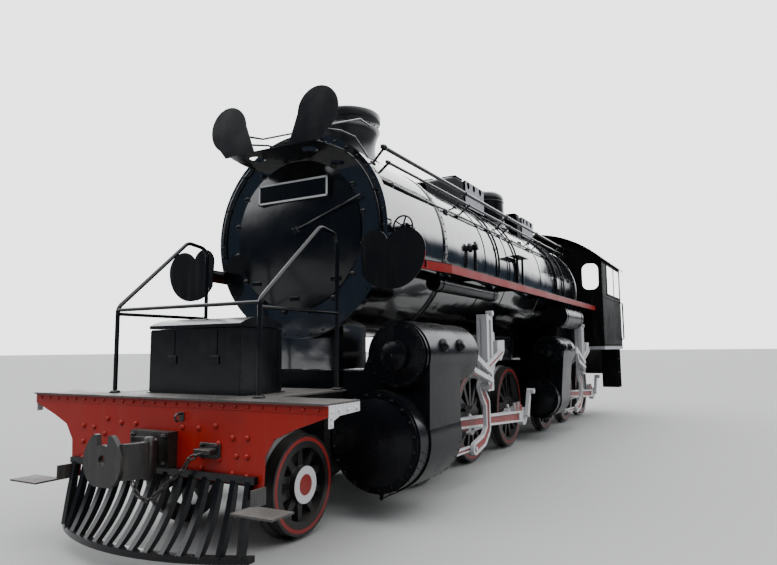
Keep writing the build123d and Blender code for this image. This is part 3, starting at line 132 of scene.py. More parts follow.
def tube_quads(rows, count):
    """The faces between rings of points that follow each other."""
    quads = []
    for row in range(rows - 1):
        for k in range(count):
            a = row * count + k
            b = row * count + (k + 1) % count
            quads.append((a, b, b + count, a + count))
    return quads


def tube_faces(rows, count):
    """The faces between rings of points, with both ends closed."""
    last = (rows - 1) * count
    return tube_quads(rows, count) + [tuple(range(count))[::-1], tuple(range(last, last + count))]


def turned(shape, base, axis, profile, count, smooth=True):
    """A turned form: profile holds (radius, height) pairs from the base up the axis."""
    base = Vector(base)
    axis = Vector(axis).normalized()
    u, v = across(axis)
    points = []
    for radius, height in profile:
        for a in turns(count):
            points.append(base + axis * height + (u * cos(a) + v * sin(a)) * radius)
    shape.add(points, tube_faces(len(profile), count), smooth)


def rivet(shape, place, normal, r=0.016):
    """A snap head rivet."""
    profile = ((r, -0.002), (r, r * 0.18), (r * 0.78, r * 0.55), (r * 0.36, r * 0.78))
    turned(shape, place, normal, profile, 10)


def rivets(shape, places, normal, r):
    """Rivets of one size that face the same way."""
    for place in places:
        rivet(shape, place, normal, r)


def nut(shape, place, normal, r=0.022, stud=True):
    """A hexagon nut with the end of its stud."""
    profile = ((r, -0.002), (r, r * 0.75), (r * 0.86, r * 0.9))
    turned(shape, place, normal, profile, 6, False)
    if stud:
        top = Vector(place) + Vector(normal).normalized() * r * 0.8
        turned(shape, top, normal, ((r * 0.5, 0), (r * 0.5, r * 0.6), (r * 0.3, r * 0.7)), 8)


def bar(shape, start, end, r, count=12):
    """A round bar between two points."""
    start = Vector(start)
    end = Vector(end)
    length = (end - start).length
    turned(shape, start, end - start, ((r, 0), (r, length)), count)


def pipe(shape, points, r, count=12):
    """A bent pipe through points."""
    points = [Vector(p) for p in points]
    u, v = across(points[1] - points[0])
    verts = []
    for i, p in enumerate(points):
        before = points[max(i - 1, 0)]
        after = points[min(i + 1, len(points) - 1)]
        direction = (after - before).normalized()
        u = (u - direction * u.dot(direction)).normalized()
        v = direction.cross(u)
        verts.extend(p + (u * cos(a) + v * sin(a)) * r for a in turns(count))
    shape.add(verts, tube_faces(len(points), count), True)


def slab(shape, low, high, edge=0.003):
    """A box with its edges taken off."""
    points = []
    index = {}
    for axis in range(3):
        for ends in product((0, 1), repeat=3):
            index[axis, ends] = len(points)
            insets = [0 if n == axis else edge for n in range(3)]
            points.append([high[n] - insets[n] if ends[n] else low[n] + insets[n] for n in range(3)])
    faces = []
    for axis in range(3):
        a, b = [n for n in range(3) if n != axis]
        for end in (0, 1):
            ring = []
            for p, q in ((0, 0), (1, 0), (1, 1), (0, 1)):
                ends = [0, 0, 0]
                ends[axis], ends[a], ends[b] = end, p, q
                ring.append(index[axis, tuple(ends)])
            flip = (end == 0) != (axis == 1)
            faces.append(tuple(ring[::-1] if flip else ring))
        for p, q in product((0, 1), repeat=2):
            ring = []
            for face_axis, end in ((a, 0), (a, 1), (b, 1), (b, 0)):
                ends = [0, 0, 0]
                ends[axis], ends[a], ends[b] = end, p, q
                ring.append(index[face_axis, tuple(ends)])
            flip = (p == q) != (axis == 1)
            faces.append(tuple(ring if flip else ring[::-1]))
    for ends in product((0, 1), repeat=3):
        ring = [index[axis, ends] for axis in range(3)]
        faces.append(tuple(ring if sum(ends) % 2 else ring[::-1]))
    shape.add(points, faces)


def block(shape, centre, half, edge=0.002):
    """A slab given by its centre and its half sizes."""
    low = [c - h for c, h in zip(centre, half)]
    high = [c + h for c, h in zip(centre, half)]
    slab(shape, low, high, edge)


def evenly(start, end, count):
    """Places at equal steps from start to end."""
    start = Vector(start)
    end = Vector(end)
    return [start.lerp(end, k / (count - 1)) for k in range(count)]


def forward_circle(x, y, z, r, count):
    """Places on a circle that faces forward."""
    return [(x, y + r * cos(a), z + r * sin(a)) for a in turns(count, 0.5)]


def round_boiler(x, radius, angle):
    """A place on a circle round the boiler's centre line, at an angle from its top."""
    return Vector((x, radius * sin(angle), BOILER_Z + radius * cos(angle)))


def boiler_top(radius, y):
    """How high a circle round the boiler's centre line is at y."""
    return BOILER_Z + (radius ** 2 - y * y) ** 0.5


# Node trees
class Tree:
    """A node tree with short calls for the nodes used here."""

    def __init__(self, tree):
        self.tree = tree
        self.coordinates = tree.nodes.new("ShaderNodeTexCoord").outputs

    def link(self, value, socket):
        if hasattr(value, "is_output"):
            self.tree.links.new(value, socket)
        else:
            socket.default_value = value

    def math(self, operation, a, b=0.0, clamp=False):
        node = self.tree.nodes.new("ShaderNodeMath")
        node.operation = operation
        node.use_clamp = clamp
        self.link(a, node.inputs[0])
        self.link(b, node.inputs[1])
        return node.outputs[0]

    def band(self, value, low, high, to_low=0.0, to_high=1.0, smooth=False):
        node = self.tree.nodes.new("ShaderNodeMapRange")
        node.interpolation_type = "SMOOTHSTEP" if smooth else "LINEAR"
        self.link(value, node.inputs["Value"])
        node.inputs["From Min"].default_value = low
        node.inputs["From Max"].default_value = high
        node.inputs["To Min"].default_value = to_low
        node.inputs["To Max"].default_value = to_high
        return node.outputs["Result"]

    def mix(self, share, a, b):
        node = self.tree.nodes.new("ShaderNodeMix")
        node.data_type = "RGBA"
        self.link(share, node.inputs["Factor"])
        for value, socket in ((a, node.inputs["A"]), (b, node.inputs["B"])):
            self.link((*value, 1.0) if isinstance(value, tuple) else value, socket)
        return node.outputs["Result"]

    def parts(self, vector):
        node = self.tree.nodes.new("ShaderNodeSeparateXYZ")
        self.link(vector, node.inputs[0])
        return node.outputs


class Nodes(Tree):
    """The node tree of a new material."""

    def __init__(self, name):
        self.material = bpy.data.materials.new(name)
        self.material.use_nodes = True
        super().__init__(self.material.node_tree)
        self.shader = self.tree.nodes["Principled BSDF"]
        self.place = self.coordinates["Object"]
        self.normal = self.coordinates["Normal"]

    def stretch(self, scale):
        node = self.tree.nodes.new("ShaderNodeMapping")
        self.link(self.place, node.inputs["Vector"])
        node.inputs["Scale"].default_value = scale
        return node.outputs[0]

    def noise(self, scale, detail=3.0, rough=0.55, vector=None):
        node = self.tree.nodes.new("ShaderNodeTexNoise")
        self.link(vector if vector else self.place, node.inputs["Vector"])
        node.inputs["Scale"].default_value = scale
        node.inputs["Detail"].default_value = detail
        node.inputs["Roughness"].default_value = rough
        return node.outputs["Fac"]

    def bump(self, height, strength, distance):
        node = self.tree.nodes.new("ShaderNodeBump")
        node.inputs["Strength"].default_value = strength
        node.inputs["Distance"].default_value = distance
        self.link(height, node.inputs["Height"])
        if self.shader.inputs["Normal"].is_linked:
            before = self.shader.inputs["Normal"].links[0].from_socket
            self.link(before, node.inputs["Normal"])
        self.link(node.outputs[0], self.shader.inputs["Normal"])

    def step(self, value, edge, width=0.004):
        return self.band(value, edge - width, edge + width)


# Materials
DUST = (0.105, 0.093, 0.078)
RUST = (0.115, 0.043, 0.018)
GRIME = (0.008, 0.007, 0.006)


def weather(nodes, colour, dust, streaks, rust, rough, grime=0.3):
    """Dust on what faces up, streaks down the sides, rust spots and a varied gloss."""
    up = nodes.parts(nodes.normal)["Z"]
    height = nodes.parts(nodes.place)["Z"]
    cloud = nodes.noise(1.7, 5.0, 0.6)
    fine = nodes.noise(23.0, 4.0, 0.6)
    lies = nodes.math("MULTIPLY", nodes.band(up, 0.25, 0.95), nodes.band(cloud, 0.30, 0.70))
    low = nodes.math("MULTIPLY", nodes.band(height, 1.3, 0.0), nodes.band(fine, 0.30, 0.75))
    dusty = nodes.math("MULTIPLY", nodes.math("ADD", lies, nodes.math("MULTIPLY", low, 0.45)), dust, True)
    runs = nodes.noise(3.0, 5.0, 0.65, nodes.stretch((5.0, 5.0, 0.55)))
    streak = nodes.math("MULTIPLY", nodes.band(runs, 0.52, 0.78), streaks, True)
    spots = nodes.noise(9.0, 8.0, 0.72)
    spot = nodes.math("MULTIPLY", nodes.band(spots, 0.64, 0.70), rust, True)
    stain = nodes.math("MULTIPLY", nodes.band(nodes.noise(0.9, 6.0, 0.7), 0.5, 0.8), grime, True)
    result = nodes.mix(stain, colour, GRIME)
    result = nodes.mix(streak, result, DUST)
    result = nodes.mix(dusty, result, DUST)
    result = nodes.mix(spot, result, RUST)
    nodes.link(result, nodes.shader.inputs["Base Color"])
    gloss = nodes.band(cloud, 0.3, 0.7, rough[0], rough[1])
    dull = nodes.math("ADD", nodes.math("MULTIPLY", dusty, 0.5), nodes.math("MULTIPLY", streak, 0.35))
    dull = nodes.math("ADD", dull, nodes.math("MULTIPLY", spot, 0.5))
    nodes.link(nodes.math("ADD", gloss, dull, True), nodes.shader.inputs["Roughness"])
    return fine


def finish_enamel(
    nodes, colour, rough=(0.14, 0.24), dust=0.16, streaks=0.05, rust=0.08, waves=0.6, grime=0.3, ior=1.5,
    shine=0.5,
):
    """Brush applied gloss paint on steel, with waves in the sheet below it."""
    fine = weather(nodes, colour, dust, streaks, rust, rough, grime)
    nodes.shader.inputs["IOR"].default_value = ior
    nodes.shader.inputs["Specular IOR Level"].default_value = shine
    nodes.bump(fine, 0.10, 0.002)
    nodes.bump(nodes.noise(2.3, 2.0, 0.4), waves, 0.010)
    return nodes.material


def enamel(name, colour, **finish):
    """Gloss paint of one colour."""
    return finish_enamel(Nodes(name), colour, **finish)


VALANCE_LOW = BOARD_TOP - 0.087
VALANCE_HIGH = BOARD_TOP - 0.009
VALANCE_Y = 1.062


def board_paint(name):
    """Black running boards with a red valance below their edge."""
    nodes = Nodes(name)
    sideways = nodes.step(nodes.math("ABSOLUTE", nodes.parts(nodes.normal)["Y"]), 0.9, 0.03)
    place = nodes.parts(nodes.place)
    low = nodes.step(place["Z"], VALANCE_LOW, 0.001)
    high = nodes.step(place["Z"], VALANCE_HIGH, 0.001)
    outside = nodes.step(nodes.math("ABSOLUTE", place["Y"]), VALANCE_Y, 0.002)
    red = nodes.math("MULTIPLY", nodes.math("SUBTRACT", low, high), nodes.math("MULTIPLY", sideways, outside))
    colour = nodes.mix(red, BLACK, VALANCE_RED)
    return finish_enamel(nodes, colour, rough=(0.30, 0.45), dust=0.2, streaks=0.10, rust=0.25, ior=1.20)


def casing_paint(name):
    """Black sandboxes; the plates that stand proud of their sides are painted pale grey, a painted reflection
    of the sky.
    """
    nodes = Nodes(name)
    proud = nodes.step(nodes.math("ABSOLUTE", nodes.parts(nodes.place)["Y"]), CASING_Y - 0.0025, 0.001)
    # Pale grey on the proud plates: painted reflection of the sky
    colour = nodes.mix(proud, BLACK, GREY)
    return finish_enamel(nodes, colour, dust=0.1, streaks=0.10, rust=0.15, waves=0.3, ior=1.12, shine=0.05)


STRIP_IN = 0.012
STRIP_TOP = PLATFORM_TOP - 0.0115


def platform_paint(name, colour):
    """Chequered platform plate with white side strips."""
    nodes = Nodes(name)
    place = nodes.parts(nodes.place)
    edge = nodes.step(nodes.math("ABSOLUTE", place["Y"]), PLATFORM_HALF - STRIP_IN, 0.002)
    below = nodes.math("SUBTRACT", 1.0, nodes.step(place["Z"], STRIP_TOP, 0.0005))
    white = nodes.math("MULTIPLY", edge, below)
    tread_bump(nodes)
    weather(nodes, nodes.mix(white, colour, WHITE), 0.5, 0.15, 0.45, (0.32, 0.55))
    return nodes.material


def rough_casting(name, colour, rough=(0.45, 0.65), dust=0.7, rust=0.5):
    """Painted casting or oily frame plate with a rough skin."""
    nodes = Nodes(name)
    weather(nodes, colour, dust, 0.3, rust, rough)
    nodes.bump(nodes.noise(120.0, 3.0, 0.6), 0.35, 0.0015)
    return nodes.material


TREAD_PITCH = 0.042


def tread_bump(nodes):
    """The short crossing ribs of chequered tread plate."""
    place = nodes.parts(nodes.place)
    diagonal = nodes.math("ADD", place["X"], place["Y"])
    other = nodes.math("SUBTRACT", place["X"], place["Y"])
    ribs = None
    for along, over in ((diagonal, other), (other, diagonal)):
        wave = nodes.math("SINE", nodes.math("MULTIPLY", along, tau / TREAD_PITCH))
        cut = nodes.math("SINE", nodes.math("MULTIPLY", over, tau / (2 * TREAD_PITCH)))
        rib = nodes.math("MULTIPLY", nodes.band(wave, 0.35, 0.8), nodes.band(cut, 0.1, 0.4))
        ribs = nodes.math("MAXIMUM", ribs, rib) if ribs else rib
    nodes.bump(ribs, 0.8, 0.003)


def chequer(name, colour):
    """Chequered tread plate, worn and dusty."""
    nodes = Nodes(name)
    tread_bump(nodes)
    weather(nodes, colour, 0.5, 0.1, 0.4, (0.35, 0.55))
    return nodes.material


WHEEL_INNER_Y = 0.60


def wheel_paint(name, x, z, rings):
    """Black wheel centre with coloured rings: rings holds (inner, outer, colour) about the axle."""
    nodes = Nodes(name)
    place = nodes.parts(nodes.place)
    dx = nodes.math("SUBTRACT", place["X"], x)
    dz = nodes.math("SUBTRACT", place["Z"], z)
    square = nodes.math("ADD", nodes.math("MULTIPLY", dx, dx), nodes.math("MULTIPLY", dz, dz))
    radius = nodes.math("SQRT", square)
    outward = nodes.step(nodes.math("ABSOLUTE", place["Y"]), WHEEL_INNER_Y, 0.01)
    facing = nodes.step(nodes.math("ABSOLUTE", nodes.parts(nodes.normal)["Y"]), 0.8, 0.05)
    outward = nodes.math("MULTIPLY", outward, facing)
    colour = WHEEL_BLACK
    for inner, outer, paint in rings:
        inside = nodes.math("SUBTRACT", nodes.step(radius, inner, 0.002), nodes.step(radius, outer, 0.002))
        colour = nodes.mix(nodes.math("MULTIPLY", inside, outward), colour, paint)
    weather(nodes, colour, 0.3, 0.12, 0.35, (0.25, 0.45))
    nodes.bump(nodes.noise(60.0, 4.0, 0.6), 0.3, 0.0015)
    return nodes.material


def fluted_paint(name, floors, edge, flute):
    """Light rods whose flute floors are coloured: floors holds (low, high) of |y|."""
    nodes = Nodes(name)
    away = nodes.math("ABSOLUTE", nodes.parts(nodes.place)["Y"])
    facing = nodes.step(nodes.math("ABSOLUTE", nodes.parts(nodes.normal)["Y"]), 0.7, 0.05)
    colour = edge
    for low, high in floors:
        inside = nodes.math("SUBTRACT", nodes.step(away, low, 0.001), nodes.step(away, high, 0.001))
        colour = nodes.mix(nodes.math("MULTIPLY", inside, facing), colour, flute)
    weather(nodes, colour, 0.35, 0.45, 0.55, (0.30, 0.50), 0.15)
    nodes.bump(nodes.noise(80.0, 4.0, 0.6), 0.25, 0.001)
    return nodes.material


BLACK = (0.0020, 0.0026, 0.0038)
CAB_BLACK = (0.0040, 0.0042, 0.0046)
WHEEL_BLACK = (0.004, 0.004, 0.0045)
FRAME_BLACK = (0.004, 0.004, 0.004)
# Painted shade: the dull near black of the discs that stand for the dark inside the sandboxes' holes
HOLE_SHADE_BLACK = (0.001, 0.001, 0.0015)
TREAD_BLACK = (0.030, 0.029, 0.028)
RED = (0.21, 0.0050, 0.0018)
VALANCE_RED = (0.17, 0.0080, 0.0070)
RIM_RED = (0.17, 0.006, 0.004)
ROD_RED = (0.17, 0.008, 0.006)
WHITE = (0.44, 0.445, 0.455)
GREY = (0.26, 0.27, 0.29)
BRASS = (0.42, 0.27, 0.08)

# How far out the flutes' floors lie: on the main rods, on the coupling rods, then on the valve gear
ROD_FLOORS = ((0.905, 0.931), (0.710, 0.730), (1.0985, 1.1035), (1.0545, 1.058), (1.209, 1.2145))

black_paint = enamel("black_paint", BLACK, rough=(0.16, 0.28), dust=0.10, ior=1.33)
door_black = enamel(
    "door_black", BLACK, rough=(0.13, 0.22), dust=0.05, streaks=0.03, rust=0.04, waves=0.8, ior=1.42
)
cylinder_black = enamel(
    "cylinder_black", BLACK, rough=(0.17, 0.30), dust=0.07, streaks=0.04, rust=0.10, waves=0.7, ior=1.25
)
chimney_black = enamel(
    "chimney_black", BLACK, rough=(0.30, 0.42), dust=0.10, streaks=0.06, rust=0.15, waves=0.4, ior=1.40
)
boiler_black = enamel(
    "boiler_black", BLACK, rough=(0.07, 0.14), dust=0.06, streaks=0.03, rust=0.03, waves=0.8, ior=2.25
)
red_paint = enamel(
    "red_paint", RED, rough=(0.30, 0.45), dust=0.12, streaks=0.12, rust=0.3, waves=0.5, grime=0.5, ior=1.30
)
cab_paint = enamel(
    "cab_paint", CAB_BLACK, rough=(0.34, 0.5), dust=0.22, streaks=0.14, rust=0.35, waves=0.7, ior=1.12,
    shine=0.2,
)
# Dull near black for the discs over the sandboxes' holes: painted shade
hole_shade_black = enamel("hole_shade_black", HOLE_SHADE_BLACK, rough=(0.8, 0.9), dust=0.0, streaks=0.0, rust=0.0, shine=0.0)
grey_paint = enamel("grey_paint", GREY, rough=(0.40, 0.55), dust=0.4, streaks=0.3, rust=0.3, waves=0.2)
white_paint = enamel("white_paint", WHITE, rough=(0.40, 0.55), dust=0.3, streaks=0.3, rust=0.4, waves=0.2)
frame_black = rough_casting("frame_black", FRAME_BLACK, (0.35, 0.55), 0.3, 0.25)
chequer_plate = chequer("chequer_plate", TREAD_BLACK)
platform_plate = platform_paint("platform_plate", TREAD_BLACK)
valance_paint = board_paint("valance_paint")
sandbox_paint = casing_paint("sandbox_paint")
rod_paint = fluted_paint("rod_paint", ROD_FLOORS, WHITE, ROD_RED)
brass = rough_casting("brass", BRASS, (0.30, 0.45), 0.3, 0.0)
brass.node_tree.nodes["Principled BSDF"].inputs["Metallic"].default_value = 1.0


def give(material, *nodes):
    """Puts one material on CAD nodes."""
    for node in nodes:
        piece = frame["nodes"][node]
        for slot in piece.material_slots:
            slot.material = material
        if not piece.material_slots:
            raise ValueError(f"{node} has no material slot")


BY_SLOT = {
    "black_paint": black_paint,
    "boiler_black": boiler_black,
    "red_paint": red_paint,
    "rod_paint": rod_paint,
    "cab_paint": cab_paint,
    "grey_paint": grey_paint,
    "frame_black": frame_black,
    "chequer_plate": chequer_plate,
}
for part in frame["record"]["subparts"]:
    if part["material_slot"] in BY_SLOT:
        give(BY_SLOT[part["material_slot"]], part["node"])

give(valance_paint, "running_boards")
give(door_black, "smokebox_door")
give(black_paint, "firebox")
give(cylinder_black, "low_pressure_cylinders", "high_pressure_cylinders", "air_reservoirs", "steam_dome")
give(sandbox_paint, "sandboxes")
give(platform_plate, "front_platform")

# Painted rings of the wheels: inner and outer radius, and colour
DRIVER_RINGS = ((0.494, 0.522, RIM_RED),)
PONY_RINGS = ((0.318, 0.346, RIM_RED), (0.0, 0.137, WHITE), (0.0, 0.077, RIM_RED))
for number, x in enumerate(AXLES["front"] + AXLES["rear"], 1):
    give(wheel_paint(f"wheel_paint_{number}", x, DRIVER_Z, DRIVER_RINGS), f"driver_axle_{number}")
give(wheel_paint("pony_paint", PONY_X, PONY_Z, PONY_RINGS), "pony_axle")

# Rivets on the red beam, with the seam of its upper angle
BEAM_RIVETS = (
    (0.23, 0.887), (0.38, 0.888), (0.53, 0.910), (0.68, 0.842), (0.80, 0.847), (0.56, 0.800),
    (0.713, 0.730), (0.80, 0.732), (0.565, 0.700), (0.415, 0.635), (0.68, 0.620), (0.80, 0.610),
)
ANGLE_END_Y = 1.34
ANGLE_RIVET_Z = 1.040
shape = Shape()
for side in SIDES:
    rivets(shape, [(BEAM_FACE_X, side * y, z) for y, z in BEAM_RIVETS], FORWARD, 0.019)
angle_ends = [(BEAM_FACE_X, y, ANGLE_RIVET_Z) for y in (-ANGLE_END_Y, ANGLE_END_Y)]
rivets(shape, evenly(*angle_ends, 26), FORWARD, 0.012)
slab(shape, (BEAM_FACE_X, -1.40, 1.016), (BEAM_FACE_X + 0.004, 1.40, 1.022), 0.001)
shape.build("beam_rivets", "front_unit", red_paint)

# Rivets, seams and front plates of the white strips along the platform's sides
shape = Shape()
for side in SIDES:
    out = (0, side, 0)
    strip_y = side * PLATFORM_HALF
    rivets(shape, [(x, strip_y, 1.030) for x in (5.43, 5.53, 5.63, 5.71)], out, 0.012)
    slab(shape, (5.44, strip_y - 0.0005, 1.0405), (5.73, strip_y + 0.0005, 1.0415), 0.0002)
    slab(shape, (5.694, strip_y - 0.002, 0.934), (5.742, strip_y + 0.005, 1.066), 0.001)
    rivets(shape, [(5.718, strip_y + side * 0.005, z) for z in (0.955, 0.990)], out, 0.010)
shape.build("platform_strip_rivets", "front_unit", white_paint)


def oval_link(shape, centre, along, flat, length, width, wire):
    """One welded chain link, its long way along and its flat side facing flat."""
    centre = Vector(centre)
    along = Vector(along).normalized()
    flat = (Vector(flat) - along * Vector(flat).dot(along)).normalized()
    wide = along.cross(flat)
    reach = (length - width) / 2
    rows = 20
    count = 7
    points = []
    for a in turns(rows):
        out = along * cos(a) + wide * sin(a)
        middle = centre + out * (width / 2 - wire) + along * (reach if cos(a) > 0 else -reach)
        points.extend(middle + (out * cos(b) + flat * sin(b)) * wire for b in turns(count))
    faces = []
    for i in range(rows):
        for k in range(count):
            a = i * count + k
            b = i * count + (k + 1) % count
            c = (i + 1) % rows * count + (k + 1) % count
            d = (i + 1) % rows * count + k
            faces.append((a, b, c, d))
    shape.add(points, faces, True)


def chain(shape, route, pitch, width, wire):
    """Links laid along a route, every other one turned."""
    route = [Vector(p) for p in route]
    facing = Vector((1, 0, 0.1))
    left = 0.0
    turn = 0
    for p, q in zip(route, route[1:]):
        along = (q - p).normalized()
        length = (q - p).length
        while left < length:
            flat = facing if turn % 2 else along.cross(facing)
            oval_link(shape, p + along * left, along, flat, pitch + 2.2 * wire, width, wire)
            left += pitch
            turn += 1
        left -= length


# Side chain from its eye on the beam, hanging below the coupler
CHAIN_ROUTE = (
    (5.835, 0.470, 0.735), (5.850, 0.400, 0.705), (5.860, 0.374, 0.650), (5.880, 0.266, 0.560),
    (5.925, 0.168, 0.455), (5.925, 0.110, 0.430), (5.925, 0.031, 0.450), (5.900, -0.062, 0.520),
)
CHAIN_PITCH = 0.046
CHAIN_WIDTH = 0.040
CHAIN_WIRE_R = 0.0075
EYE_PLATE_X = BEAM_FACE_X + 0.012
shape = Shape()
chain(shape, CHAIN_ROUTE, CHAIN_PITCH, CHAIN_WIDTH, CHAIN_WIRE_R)
slab(shape, (BEAM_FACE_X, 0.42, 0.735), (BEAM_FACE_X + 0.085, 0.56, 0.768), 0.004)
slab(shape, (BEAM_FACE_X, 0.40, 0.700), (EYE_PLATE_X, 0.58, 0.800), 0.004)
for y, z in product((0.425, 0.555), (0.715, 0.785)):
    nut(shape, (EYE_PLATE_X, y, z), FORWARD, 0.014)

# Nuts of the coupler's pocket, and the coupler's pin
POCKET_X = BEAM_FACE_X + 0.080
for y, z in product((-0.150, 0.150), (0.65, 0.83)):
    nut(shape, (POCKET_X, y, z), FORWARD, 0.018)
turned(shape, (6.000, 0.205, 0.585), UPWARD, ((0.030, 0), (0.030, 0.262), (0.022, 0.270)), 16)

# Lamp hook above the coupler
HOOK_Y = 0.222
HOOK_Z = 0.957
HOOK_R = 0.024
block(shape, (BEAM_FACE_X + 0.004, HOOK_Y, HOOK_Z), (0.004, 0.022, 0.030))
hook = [(BEAM_FACE_X, HOOK_Y, HOOK_Z - 0.004 + HOOK_R)]
for a in arc(90, -90, 7):
    hook.append((BEAM_FACE_X + 0.036 + HOOK_R * cos(a), HOOK_Y, HOOK_Z - 0.004 + HOOK_R * sin(a)))
pipe(shape, hook, 0.008, 10)
shape.build("coupler_chain", "front_unit", frame_black)

# Latches and corner straps of the toolbox, flanges at the feet of the rails
BOX_CORNERS_X = (5.005, 5.435)
STRAP_T = 0.005
LATCH_X = BOX_FRONT_X + 0.010
RAIL_Y = 0.720
RAIL_FEET_X = (5.555, 4.618)
shape = Shape()
for y in (-0.215, 0.215):
    slab(shape, (BOX_FRONT_X, y - 0.022, 1.300), (BOX_FRONT_X + 0.006, y + 0.022, 1.545), 0.002)
    slab(shape, (BOX_FRONT_X + 0.004, y - 0.045, 1.300), (LATCH_X, y + 0.045, 1.360), 0.002)
    rivets(shape, [(LATCH_X, y, z) for z in (1.315, 1.345)], FORWARD, 0.007)
for side in SIDES:
    box_y = side * BOX_HALF
    strap_y = side * (BOX_HALF + STRAP_T)
    for x in BOX_CORNERS_X:
        slab(shape, (x - 0.015, box_y, 1.09), (x + 0.015, strap_y, 1.55), 0.002)
        rivets(shape, evenly((x, strap_y, 1.12), (x, strap_y, 1.516), 7), (0, side, 0), 0.006)
    slab(shape, (4.995, box_y, 1.080), (5.445, side * (BOX_HALF + 0.045), 1.086), 0.002)
    for x in RAIL_FEET_X:
        y = side * RAIL_Y
        turned(shape, (x, y, PLATFORM_TOP), UPWARD, ((0.042, 0), (0.042, 0.010), (0.024, 0.022)), 20)
        for a in turns(3):
            nut(shape, (x + 0.032 * cos(a), y + 0.032 * sin(a), PLATFORM_TOP + 0.009), UPWARD, 0.007)
shape.build("platform_fittings", "front_unit", black_paint)

# Studs of the smokebox front, rows of rivets and a strap round the smokebox
STUD_CIRCLE_R = 0.930
shape = Shape()
for a in turns(40):
    nut(shape, round_boiler(SMOKEBOX_FACE_X, STUD_CIRCLE_R, a), FORWARD, 0.013)
for x, a in product((2.865, 2.925, 4.080), turns(72)):
    rivet(shape, round_boiler(x, SMOKEBOX_R, a), (0, sin(a), cos(a)), 0.011)
inner_r = SMOKEBOX_R - 0.004
outer_r = SMOKEBOX_R + 0.004
strap = ((inner_r, -0.062), (outer_r, -0.060), (outer_r, 0.060), (inner_r, 0.062))
turned(shape, (2.895, 0, BOILER_Z), FORWARD, strap, 96)

# A bent pipe with three clips down each side of the smokebox front
RING_PIPE_R = 0.895
for side in SIDES:
    ring = [round_boiler(SMOKEBOX_FACE_X + 0.022, RING_PIPE_R, side * a) for a in arc(38, 100, 19)]
    pipe(shape, ring, 0.011, 10)
    for place in (ring[2], ring[9], ring[16]):
        block(shape, (SMOKEBOX_FACE_X + 0.018, *place[1:]), (0.018, 0.020, 0.009))

# Dogs that hold the door
DOG_CIRCLE_R = 0.730
for a in turns(16, 0.5):
    place = round_boiler(SMOKEBOX_FACE_X - 0.002, DOG_CIRCLE_R, a)
    turned(shape, place, FORWARD, ((0.026, 0), (0.026, 0.016), (0.020, 0.020)), 14)
    nut(shape, place + Vector((0.018, 0, 0)), FORWARD, 0.017)
shape.build("smokebox_rivets", "rear_unit", door_black)

# White border of the bare number plate
PLATE_X = 4.285
PLATE_Y = (-0.397, 0.397)
PLATE_Z = (2.7725, 2.9615)
BORDER = 0.017
shape = Shape()
for y0, y1, z0, z1 in (
    (*PLATE_Y, PLATE_Z[1] - BORDER, PLATE_Z[1]),
    (*PLATE_Y, PLATE_Z[0], PLATE_Z[0] + BORDER),
    (PLATE_Y[0], PLATE_Y[0] + BORDER, *PLATE_Z),
    (PLATE_Y[1] - BORDER, PLATE_Y[1], *PLATE_Z),
):
    slab(shape, (PLATE_X - 0.001, y0, z0), (PLATE_X + 0.004, y1, z1), 0.001)
shape.build("plate_border", "rear_unit", white_paint)

# Rivets of the number plate, pivot and long handle of the door, and the lugs on it
PIVOT_Y = 0.060
PIVOT_Z = 2.488
PIVOT = ((0.040, 0), (0.040, 0.020), (0.026, 0.034), (0.020, 0.050))
shape = Shape()
rivets(shape, [(PLATE_X, y, 2.867) for y in (-0.36, 0.36)], FORWARD, 0.008)
bar(shape, (4.296, 0.067, 2.491), (4.238, 0.712, 2.750), 0.011)
turned(shape, (4.270, PIVOT_Y, PIVOT_Z), FORWARD, PIVOT, 20)
nut(shape, (4.318, PIVOT_Y, PIVOT_Z), FORWARD, 0.022)
for y, drop in ((0.45, 0.44), (-0.45, 0.44), (0.0, 0.60)):
    block(shape, (4.223, y, BOILER_Z - drop), (0.023, 0.05, 0.02), 0.004)
shape.build("door_fittings", "rear_unit", door_black)

# Stays behind the ears, and rivets in the visor where the ears and its gussets meet it
EAR_STAYS = (
    ((4.583, 0.400, 3.381), (4.234, 0.400, 3.447), (3.709, 0.390, 3.674), (3.437, 0.345, 3.700)),
    ((4.583, 0.440, 3.300), (4.120, 0.430, 3.420), (3.860, 0.420, 3.440), (3.560, 0.390, 3.330)),
)
VISOR_TOP = 3.184
shape = Shape()
for side in SIDES:
    for route in EAR_STAYS:
        pipe(shape, [(x, side * y, z) for x, y, z in route], 0.010, 10)
    rivets(shape, [(x, side * 0.455, VISOR_TOP) for x in (4.44, 4.50, 4.56)], UPWARD, 0.009)
    gusset = evenly((4.250, side * 0.535, VISOR_TOP), (4.490, side * 0.519, VISOR_TOP), 5)
    rivets(shape, gusset, UPWARD, 0.009)
shape.build("visor_stays", "rear_unit", black_paint)

# The cylinders of each unit: name, front, length, radius, circle and number of studs,
# then the front, Y and radius of the valve chest, and the X places of its plugs
CYLINDERS = (
    ("front", 4.330, 0.840, 0.427, 0.378, 20, 4.226, 1.045, 0.290, (3.510, 3.880)),
    ("rear", -0.570, 0.740, 0.300, 0.230, 14, -0.674, 1.020, 0.235, (-1.160, -0.800)),
)
COVER_T = 0.026
REAR_NUTS_FROM_Y = MOTION_Y - 0.18
CHEST_CAP_T = 0.062
DRAIN_DROP = 0.036
DRAIN_COCK = ((0.024, 0), (0.024, 0.018), (0.014, 0.022), (0.014, 0.055), (0.009, 0.060))

